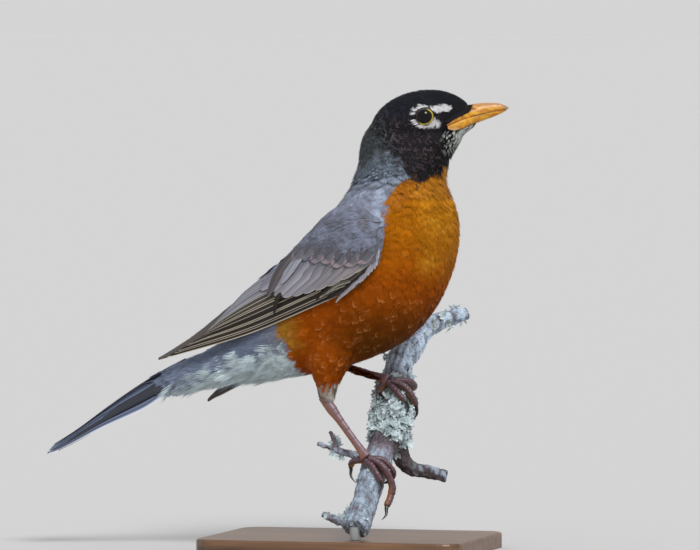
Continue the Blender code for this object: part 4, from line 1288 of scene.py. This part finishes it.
roots = scatter(cloak, 1.8, scapular_place, 13)
lines = lay_lines(cloak, roots, 9.0, scapular_way, 4)
sizes = (9.0, 2.5, 1.0, 0.1 + 0.25 * np.random.default_rng(3).random(len(roots)), 0.0, 0.04)
press(feather_piece("scapulars", "grey", BROAD, *lines, sizes, scapular_hues, 14))


# ---------------------------------------------------------------- tail
# Twelve stiff tail feathers, folded: the middle pair lies on top and each pair outward lies under it.

# Sections of the folded tail: place along X, height of its ridge and of its edge, half width, thickness.
TAIL_ROWS = np.array((
    (-78.0, 86.6, 75.0, 7.4, 2.6), (-89.5, 80.6, 70.0, 8.4, 2.6), (-104.0, 71.6, 62.5, 9.6, 2.3),
    (-117.0, 62.6, 55.9, 10.6, 2.0), (-130.0, 53.2, 48.4, 11.4, 1.7), (-142.5, 45.4, 41.8, 11.6, 1.2),
))
SLANT = 0.575  # at the root, how far ahead a web lies for each millimetre that it lies below the ridge


def tail_blade(sign, k):
    """The tail feather that is k pairs out from the middle, on a side."""
    t = np.linspace(0, 1, BLADE_ROWS)
    rows = spread(TAIL_ROWS, t * (1 - 0.006 * (5 - k)))
    x, ridge, edge, width, thick = (rows[:, i : i + 1] for i in range(5))
    outer, inner = 0.30 + 0.70 * k / 5, 0.30 + 0.70 * k / 5 - 0.62
    taper = np.sqrt(np.clip(1 - np.clip((t - 0.93) / 0.07, 0, 1) ** 2.2, 0.003, 1))[:, None]
    middle, half = (outer + inner) / 2, (outer - inner) / 2
    share = (middle + half * BLADE_ACROSS[None] * taper) * (0.55 + 0.45 * ease(t, 0, 0.35)[:, None])
    drop = (ridge - edge) * np.abs(share) ** 1.35 * (1.0 if sign < 0 else 0.6)
    slant = SLANT * (1 - t[:, None])
    level = 0.1 - thick * k / 6 + 0.12 * BLADE_ACROSS[None]
    points = np.stack((x + slant * drop, sign * width * share, ridge - drop + level), axis=-1)
    normals = unit(np.stack((0.5 + 0 * share, sign * share * 0.9, 0.85 + 0 * share), axis=-1))
    outer_hue = mix("3A4256", "566078", 0.4 + 0.1 * k)
    edge_hue, edge_width = ("727B92", 0.07) if k < 5 else ("B9BDC4", 0.12)
    hues = vane_hues(t, "2C2E38", outer_hue, edge_hue, "25262E", edge_width, 0.012)
    return points, normals, mix(hues, "C9CCD0", ease(t, 0.955, 0.985)[:, None] * (k > 3) * 0.8)


for sign, side in ((-1, "right"), (1, "left")):
    blade_piece(f"tail_feathers_{side}", "grey", [tail_blade(sign, k) for k in range(6)])
core_points, core_faces = cad_mesh(("tail",))
middle = along_table(core_points[:, 0], TAIL_ROWS[::-1], 1) - 1.2
core_points = core_points * (0.985, 0.8, 1) + (-0.8, 0, 0)
flatter = np.where(core_points[:, 1] > 0, 0.35, 0.6)
core_points[:, 2] = middle - (middle - core_points[:, 2]) * flatter
core = raw_mesh("tail_core", core_points, [core_faces])
set_colours(core, "plume", np.tile(linear("33343C"), (len(core_points), 1)))
fitted(new_object("tail_core", core, skin_look), "plumage_grey", "tail")


# ---------------------------------------------------------------- perch
# A length of old fruit-tree branch. Grey-green leafy lichen covers its middle, a whitish crust the rest,
# and purplish-brown bark shows between them, with a painted shadow under the lichen's lower edge.

PERCH_LINE = (
    (10.8, -31.3, 12.0), (12.5, -21.5, 22.5), (13.3, -12.0, 33.5), (14.7, -2.3, 44.0), (16.6, 6.0, 54.0),
    (16.6, 13.8, 64.0), (16.0, 21.5, 74.0), (15.2, 30.0, 84.0), (19.0, 37.6, 92.5), (22.2, 44.7, 99.0),
    (29.5, 52.4, 103.0), (39.5, 61.3, 106.2),
)
PERCH_RADII = np.array((6.4, 5.7, 6.0, 6.4, 7.4, 8.8, 6.9, 6.2, 6.6, 5.2, 3.9, 2.9))[:, None]

wood = Surface(("perch_branch",), grain=0.55, rounds=2)
x, _, z = wood.points.T
line = spread(PERCH_LINE, np.linspace(0, 1, 200))
far = ((wood.points[:, None] - line[None]) ** 2).sum(2)
from_axis = np.sqrt(far.min(1))
along = far.argmin(1) / 199.0
radius = spread(PERCH_RADII, along)[:, 0]
main = ease(radius * 1.3 + 0.8 - from_axis, 0, 1.5)
side_twigs = 1 - main
coarse, knobs, grit = (ripple(wood.points, size, seed) for size, seed in ((7.0, 51), (2.6, 52), (1.1, 53)))
cracks = np.abs(ripple(wood.points * (1, 1, 0.45), 3.4, 54))
leafy = window(along, 0.315, 0.345, 0.545, 0.57) * main
crust = np.maximum(1 - ease(along, 0.24, 0.285), ease(along, 0.55, 0.58)) * main
crust = crust * (0.25 + 0.75 * ease(coarse + 0.4 * knobs + 0.5 * grit, -1.7, -0.3))
swell = 0.22 * coarse + 0.22 * knobs * (0.6 + 0.6 * leafy) + 0.12 * grit * (1 + leafy)
swell = swell + 0.28 * crust - 0.3 * (1 - crust) * (1 - leafy) * ease(-cracks, -0.25, -0.05)
flat_end = ease(z, 8.5, 12.5)
wood_points = wood.points + wood.normals * ((swell - 0.15) * flat_end)[:, None]

# Painted light: the crust is made paler on the upper branch below the bird's belly, where its body shades it.
crust_painted_light = 1 + 0.95 * ease(along, 0.55, 0.62) * (1 - 0.6 * ease(along, 0.76, 0.9))
pale = mix("7F8C9B", "9BA9BA", ease(coarse + knobs, -0.6, 1.0)) * crust_painted_light[:, None]
pale = mix(pale, "4E4A4C", ease(-grit - 0.4 * knobs, 0.75, 1.1) * 0.8)
twig_crust = side_twigs * ease(-x, -16, -8) * ease(coarse + knobs, 0.0, 0.8)
fork_crust = side_twigs * ease(x, 23, 31) * ease(coarse + knobs + wood.normals[:, 2], -0.2, 1.0)
green = mix("8C9A9C", "A7B4B8", ease(knobs + coarse * 0.5, -0.6, 0.8))
bark = layered(
    "5E5357",
    ("7A7280", ease(coarse + 0.5 * grit, -0.8, 1.0)),
    ("8D8790", ease(knobs, 0.2, 1.2) * 0.5),
    ("2E2724", ease(-cracks, -0.2, -0.03) * 0.7),
    # The fork is darker, partly its own darker bark and partly painted shade where it leaves the main branch.
    ("3A312D", side_twigs * ease(x, 15, 20) * 0.75),
    (pale, np.maximum(crust, np.maximum(0.7 * twig_crust, 0.75 * fork_crust))),
    (mix(green, "3B352F", ease(-grit, 0.7, 1.1) * 0.7), leafy),
    # A painted shadow under the lower edge of the leafy lichen.
    ("30282A", window(along, 0.285, 0.30, 0.325, 0.345) * main * 0.6),
)
# Dry bark and crust are dull and rough, with grit 1.1 mm apart.
bark_look = tint_look("lichened_bark", grain=0.0011, strength=0.28, rough=0.85)
tinted("perch_bark", bark_look, wood_points, [wood.triangles], bark, "bark", "perch_branch")

# Leafy lichen: small cupped lobes with notched rims, that grow outward over each other. It is dull and
# papery, mottled 0.7 mm apart.
LOBE_ROWS, LOBE_SIDES = 4, 15
share, around = np.linspace(0.12, 1, LOBE_ROWS), np.linspace(-1.9, 1.9, LOBE_SIDES)
reach, around = np.meshgrid(share, around, indexing="ij")
notched = (reach * (1 + 0.17 * np.sin(around * 6.4) * reach**2))[..., None]
lobe = np.stack((np.cos(around * 0.75), np.sin(around * 0.75) * 0.9), axis=-1) * notched
height = 0.12 + 0.42 * reach**2 + 0.14 * np.sin(around * 6.5) * reach**2
lobe = np.concatenate((lobe, height[..., None]), axis=-1).reshape(-1, 3)
lichen_look = tint_look("leafy_lichen", grain=0.0007, strength=0.30, rough=0.9)
lobe_mesh = raw_mesh("lobe_shape", lobe, [strip_quads(LOBE_ROWS, LOBE_SIDES)])
shape = new_object("lobe_shape", lobe_mesh, lichen_look)

# The left foot grips the branch here, and keeps the lichen worn away.
GRIP = (
    (13, 10, 74), (19, 9, 74), (23.5, 7.5, 69), (23, 12.5, 74), (27, 14, 67.5), (22.5, 17, 76.5),
    (24, 22, 74.5),
)
thallus = 0.55 * leafy * ease(knobs + 0.5 * coarse, -0.9, 0.1) * ease(away(wood_points, GRIP), 3.5, 6.5)
thallus = thallus + 0.06 * crust * ease(coarse + knobs, 0.6, 1.2) + 0.08 * twig_crust
ground = raw_mesh("lichen_ground", wood_points, [wood.triangles])
weight = ground.attributes.new("thallus", "FLOAT", "POINT")
weight.data.foreach_set("value", thallus.astype(np.float32))
lichen = new_object("lichen_lobes", ground, lichen_look)

GROWTH = {
    "Lobes per m2": ("Float", 1.0e6),
    "Smallest lobe": ("Float", 0.8),
    "Largest lobe": ("Float", 3.4),
    "Seed": ("Int", 5),
    "Lobe": ("Object", shape),
}
grow = bpy.data.node_groups.new("lichen_lobes", "GeometryNodeTree")
for way in ("INPUT", "OUTPUT"):
    grow.interface.new_socket(name="Geometry", in_out=way, socket_type="NodeSocketGeometry")
for name, (kind, _) in GROWTH.items():
    grow.interface.new_socket(name=name, in_out="INPUT", socket_type=f"NodeSocket{kind}")
given = add(grow, "NodeGroupInput").outputs
where = add(grow, "GeometryNodeInputNamedAttribute", {"Name": "thallus"}, data_type="FLOAT")
crowd = add(grow, "ShaderNodeMath", {0: where, 1: given["Lobes per m2"]}, operation="MULTIPLY")
spots = add(
    grow,
    "GeometryNodeDistributePointsOnFaces",
    {"Mesh": given["Geometry"], "Density": crowd, "Seed": given["Seed"]},
)
seat = add(grow, "GeometryNodeObjectInfo", {"Object": given["Lobe"]})
spin = {0: (-0.35, -0.35, 0.0), 1: (0.35, 0.35, 6.283), "Seed": given["Seed"]}
spin = add(grow, "FunctionNodeRandomValue", spin, data_type="FLOAT_VECTOR")
turn = {0: spots.outputs["Rotation"], 1: spin}
turn = add(grow, "FunctionNodeRotateEuler", turn, rotation_type="EULER", space="LOCAL")
size = {2: given["Smallest lobe"], 3: given["Largest lobe"], "Seed": given["Seed"]}
size = add(grow, "FunctionNodeRandomValue", size, data_type="FLOAT")
lobes = {
    "Points": spots.outputs["Points"],
    "Instance": seat.outputs["Geometry"],
    "Rotation": turn,
    "Scale": size.outputs[1],
}
whole = add(grow, "GeometryNodeRealizeInstances", {0: add(grow, "GeometryNodeInstanceOnPoints", lobes)})
faced = add(grow, "GeometryNodeSetMaterial", {"Geometry": whole, "Material": lichen_look})
add(grow, "NodeGroupOutput", {0: faced})
growth = lichen.modifiers.new("growth", "NODES")
growth.node_group = grow
for item in grow.interface.items_tree:
    if item.name in GROWTH:
        growth[item.identifier] = GROWTH[item.name][1]
grown = bpy.data.meshes.new_from_object(lichen.evaluated_get(bpy.context.evaluated_depsgraph_get()))
lichen.modifiers.clear()
lichen.data = grown
bpy.data.objects.remove(shape)
points, _ = read_mesh(grown)
rank = np.arange(len(points)) % len(lobe) // LOBE_SIDES / (LOBE_ROWS - 1)
hue = layered(
    "9FAFB2",
    ("CAD8DC", ease(ripple(points, 4.0, 61), -0.8, 0.8)),
    ("CBD5D8", ease(rank, 0.6, 1.0) * 0.6),
    ("54564F", (1 - ease(rank, 0.0, 0.5)) * 0.4),
)
set_colours(grown, "tint", hue)
fitted(lichen, "bark")


# ---------------------------------------------------------------- legs, toes and claws
# Thin scaled legs: a plated shank and four toes on each foot, with rings of scutes over their backs,
# soft pads beneath, and a curved black claw on each toe.

# Places on the branch: share of its length, angle round it in degrees and height off the bark. Each toe
# has a line of them, to which the claw's line is joined, and its radius.
PAD = {"right": (0.212, -6.0, 2.7), "left": (0.520, -9.0, 2.7)}
TOES = {
    "right": (
        (((0.212, -22, 1.9), (0.214, -44, 3.2), (0.216, -62, 4.5), (0.213, -74, 5.1)), 1.3),
        (((0.203, -6, 1.8), (0.192, 14, 1.9), (0.171, 36, 2.0), (0.157, 60, 1.7)), 1.25),
        (((0.211, 16, 1.9), (0.196, 54, 2.6), (0.166, 98, 4.4), (0.134, 113, 4.6), (0.106, 114, 4.2)), 1.4),
        (((0.222, 38, 1.8), (0.218, 64, 2.2), (0.213, 96, 3.0), (0.211, 128, 2.6)), 1.25),
    ),
    "left": (
        (((0.510, -28, 1.9), (0.497, -36, 1.9), (0.478, -33, 1.9), (0.468, -28, 1.8)), 1.3),
        (((0.506, -8, 1.8), (0.488, 6, 2.0), (0.464, 24, 2.0), (0.450, 42, 1.7)), 1.25),
        (((0.514, 13, 1.8), (0.503, 38, 1.9), (0.480, 64, 2.0), (0.466, 86, 1.9)), 1.4),
        (((0.531, 34, 1.7), (0.541, 58, 1.7), (0.549, 90, 1.6), (0.556, 118, 1.6)), 1.25),
    ),
}
CLAWS = {
    "right": (
        ((0.208, -81, 4.7), (0.186, -84, 3.9), (0.168, -95, 1.2)),
        ((0.151, 68, 1.6), (0.139, 73, 1.7), (0.121, 63, 0.9)),
        ((0.098, 116, 4.4), (0.083, 120, 5.0), (0.062, 122, 3.8)),
        ((0.209, 138, 2.3), (0.206, 152, 1.9), (0.200, 166, 0.9)),
    ),
    "left": (
        ((0.460, -22, 1.6), (0.446, -12, 1.7), (0.431, -2, 0.8)),
        ((0.444, 49, 1.6), (0.431, 56, 1.7), (0.414, 58, 0.8)),
        ((0.461, 97, 2.0), (0.448, 106, 2.2), (0.430, 112, 1.0)),
        ((0.558, 128, 1.6), (0.558, 142, 1.7), (0.554, 156, 0.8)),
    ),
}
# For each toe, the shares of its length where its joints lie, and how many scutes it has.
JOINTS = (
    ((0.35, 0.98), 9),
    ((0.3, 0.62, 0.98), 10),
    ((0.28, 0.5, 0.74, 0.98), 14),
    ((0.24, 0.42, 0.6, 0.78, 0.98), 12),
)
SHANK_PLATES = 8.5
PERCH_AXIS = spread(PERCH_LINE, np.linspace(0, 1, 400))


def on_branch(share, degrees, off):
    """A point off the bark. degrees is the angle from the branch's upper side, + towards the front."""
    shares = np.array((share, min(share + 0.002, 1.0), max(share - 0.002, 0.0)))
    centre, ahead, behind = spread(PERCH_LINE, shares)
    radius = spread(PERCH_RADII, shares[:1])[0, 0]
    along = unit(ahead - behind)
    up = unit(np.array((0, 0, 1.0)) - along * along[2])
    side = np.cross(along, up)
    side = -side if side[0] < 0 else side
    around = math.radians(degrees)
    return centre + (up * math.cos(around) + side * math.sin(around)) * (radius + off)


def grip(start, share, places):
    """A line over the bark, from a share of the way between a start and its first place."""
    line = np.array([on_branch(*place) for place in places])
    return np.concatenate(([start + (line[0] - start) * share], line))


def limb(line, radii, rows, sides, outward, relief):
    """A tube along a line with a closed round end. outward gives the way from its underside to its back
    at each place, and relief(t, turn) how far its skin stands off, where turn is 1 on the back and -1
    beneath."""
    t = np.linspace(0, 1, rows)
    line, radius = spread(line, t), spread(np.array(radii)[:, None], t)[:, 0]
    way = unit(np.gradient(line, axis=0))
    back = level_with(outward(line), way)
    side = np.cross(way, back)
    angle = np.linspace(0, 2 * math.pi, sides, endpoint=False)[None]
    turn = np.cos(angle) + 0 * t[:, None]
    size = radius[:, None] + relief(t[:, None] + 0 * angle, turn)
    size = size * np.sqrt(np.clip(1 - np.clip((t - 0.97) / 0.03, 0, 1) ** 2, 0.05, 1))[:, None]
    ring = np.cos(angle)[..., None] * back[:, None] + np.sin(angle)[..., None] * side[:, None] * 0.9
    points = (line[:, None] + ring * size[..., None]).reshape(-1, 3)
    points, quads, caps = closed_ends(points, ring_quads(rows, sides), sides)
    turn = np.concatenate((turn.ravel(), (0, 0)))
    shares = np.concatenate((np.repeat(t, sides), (0, 1)))
    return points, [quads, caps], shares, turn


def off_bark(line):
    """The way from the branch's axis to each of a line's points."""
    return unit(line - PERCH_AXIS[((line[:, None] - PERCH_AXIS[None]) ** 2).sum(2).argmin(1)])


def shank_relief(t, turn):
    return (0.16 * ((t * SHANK_PLATES) % 1) - 0.1) * ease(turn, 0.1, 0.6)


def toe_relief(joints, plates):
    """Scutes over the back, pads beneath, and a waist at each joint."""

    def relief(t, turn):
        pads = sum(np.exp(-(((t - joint + 0.06) / 0.07) ** 2)) for joint in joints)
        waist = sum(np.exp(-(((t - joint) / 0.035) ** 2)) for joint in joints[:-1])
        scute = (0.24 * ((t * plates) % 1) - 0.12) * ease(turn, -0.1, 0.4)
        return scute + 0.24 * pads * ease(-turn, -0.2, 0.8) - 0.1 * waist

    return relief


def smooth_horn(t, turn):
    return 0.0 * t


# Scaled skin has a low gloss and is flecked 0.9 mm apart. Claw horn is harder and glossier.
scale_gloss = dict(Coat_Weight=0.15, Coat_Roughness=0.3)
claw_gloss = dict(Coat_Weight=0.2, Coat_Roughness=0.2)
scale_look = tint_look("leg_scales", grain=0.0009, strength=0.16, rough=0.42, **scale_gloss)
claw_look = tint_look("claw_horn", grain=0.0008, strength=0.10, rough=0.28, **claw_gloss)
for side, heel in zip(("right", "left"), HEELS):
    pad = on_branch(*PAD[side])
    reach = unit(pad - heel)
    front = unit(np.cross(np.cross(reach, (1.0, -0.3, 0.3)), reach))
    shank = [heel + (pad - heel) * share for share in (0.1, 0.25, 0.5, 0.8)]
    shank = np.array([heel - reach * 4.0, *shank, pad - reach * 0.2])
    radii = (2.3, 2.5, 2.0, 1.75, 1.9, 3.0)
    points, faces, share, turn = limb(shank, radii, 110, 22, lambda line: front, shank_relief)
    hue = layered(
        "8E5A30",
        ("705256", ease(turn, -0.5, 0.4)),
        ("7E6874", ease(turn, 0.5, 1.0) * 0.6),
        ("4A2E2C", ease((share * SHANK_PLATES) % 1, 0.9, 1.0) * ease(turn, 0.1, 0.5) * 0.8),
        ("5E3A34", (1 - ease(share, 0.0, 0.12)) * 0.3),
    )
    tinted(f"shank_{side}", scale_look, points, faces, hue, "leg_scales", f"tarsus_{side}")

    for number, ((places, thick), (joints, plates)) in enumerate(zip(TOES[side], JOINTS), 1):
        line = grip(pad, 0.2, places)
        radii = np.array((1.35, 1.3, 1.22, 1.15, 1.0)) * thick
        points, faces, share, turn = limb(line, radii, 84, 18, off_bark, toe_relief(joints, plates))
        hue = layered(
            "A8772A" if number == 1 else "8A5228",
            ("4C3238", ease(turn, -0.7, 0.5)),
            ("624754", ease(turn, 0.4, 1.0) * 0.6),
            ("2E1B1A", ease((share * plates) % 1, 0.86, 1.0) * ease(turn, -0.05, 0.4) * 0.8),
        )
        names = f"toe_skin_{side}_{number}", f"toe_{side}_{number}"
        tinted(names[0], scale_look, points, faces, hue, "leg_scales", names[1])

        hook = grip(line[-1], 0.1, CLAWS[side][number - 1])
        points, faces, share, _ = limb(hook, (1.0, 0.85, 0.55, 0.1), 30, 14, off_bark, smooth_horn)
        hue = mix("241C1A", "120F10", ease(share, 0.1, 0.5))
        names = f"claw_horn_{side}_{number}", f"claw_{side}_{number}"
        tinted(names[0], claw_look, points, faces, hue, "claw_horn", names[1])


# ---------------------------------------------------------------- stand
# A small oiled walnut base with rounded corners, and a steel pin that holds up the branch's cut end.

# Brushed steel has a soft, even shine. Oiled walnut is satin, with grain that runs along the base and
# changes about every 4 mm across it.
steel_look, _, _ = new_look("brushed_steel", Metallic=1.0, Roughness=0.32, Base_Color=(*linear("B4B6B8"), 1))
walnut_look, tree, shader = new_look("oiled_walnut", Roughness=0.42, Coat_Weight=0.2, Coat_Roughness=0.3)
place = add(tree, "ShaderNodeTexCoord").outputs["Object"]
place = add(tree, "ShaderNodeMapping", {"Vector": place, "Scale": (14.0, 260.0, 260.0)})
waver = add(tree, "ShaderNodeTexNoise", {"Vector": place, "Scale": 1.0, "Detail": 5.0, "Roughness": 0.6})
grain = add(tree, "ShaderNodeValToRGB", {"Fac": waver})
for stop, position, code in zip(grain.color_ramp.elements, (0.32, 0.68), ("4A3222", "7A573B")):
    stop.position, stop.color = position, (*linear(code), 1)
grained(shader, grain, waver, strength=0, relief=0.15, depth=0.0002)
for name, look in (("stand_rod", steel_look), ("stand_base", walnut_look)):
    nodes[name].data.materials.clear()
    nodes[name].data.materials.append(look)


# ---------------------------------------------------------------- floor, light and camera
# A plain pale floor in an even pale surround, which is the broad soft light, and one broad lamp above
# and ahead of the bird's right side.

STUDIO = 0.66  # brightness of the surround
FLOOR_ALBEDO, FLOOR_HALF = 0.55, 60000.0
floor_hue = (FLOOR_ALBEDO, FLOOR_ALBEDO, FLOOR_ALBEDO, 1)
floor_look, _, _ = new_look("pale_floor", Roughness=0.9, Base_Color=floor_hue, Specular_IOR_Level=0.1)
corners = np.array(((-1, -1, 0), (1, -1, 0), (1, 1, 0), (-1, 1, 0))) * FLOOR_HALF
floor = new_object("floor", raw_mesh("floor", corners, [np.array([[0, 1, 2, 3]])]), floor_look)

world = bpy.data.worlds.new("studio")
scene.world = world
world.use_nodes = True
wire(world.node_tree.nodes["Background"], {"Color": (1.0, 1.0, 1.0, 1), "Strength": STUDIO})

# The lamp is far away, so that the floor is lit evenly up to the horizon. Its strength makes the floor as
# bright as the surround: floor albedo x (surround + key) = surround.
key = bpy.data.lights.new("key", "SUN")
key_place = Vector((0.62, -0.85, 1.15))
key.energy = STUDIO * (1 - FLOOR_ALBEDO) / FLOOR_ALBEDO * math.pi / key_place.normalized().z
key.angle = math.radians(24)
lamp = bpy.data.objects.new("key", key)
lamp.rotation_euler = (-key_place).to_track_quat("-Z", "Y").to_euler()
scene.collection.objects.link(lamp)

AIM, FAR = Vector((0.0, 0.0, 0.1255)), 3.5
FRAME_WIDTH, SENSOR = 0.31818, 36.0  # metres across the view at the bird, and millimetres on the sensor
TURN, RISE = math.radians(15), math.radians(2)
camera = bpy.data.objects.new("camera", bpy.data.cameras.new("camera"))
scene.collection.objects.link(camera)
scene.camera = camera
back = Vector((math.sin(TURN) * math.cos(RISE), -math.cos(TURN) * math.cos(RISE), math.sin(RISE)))
camera.location = AIM + back * FAR
camera.rotation_euler = (-back).to_track_quat("-Z", "Y").to_euler()
camera.data.sensor_width = SENSOR
camera.data.lens = SENSOR * FAR / FRAME_WIDTH
camera.data.clip_end = 200.0
scene.view_settings.view_transform = "Standard"
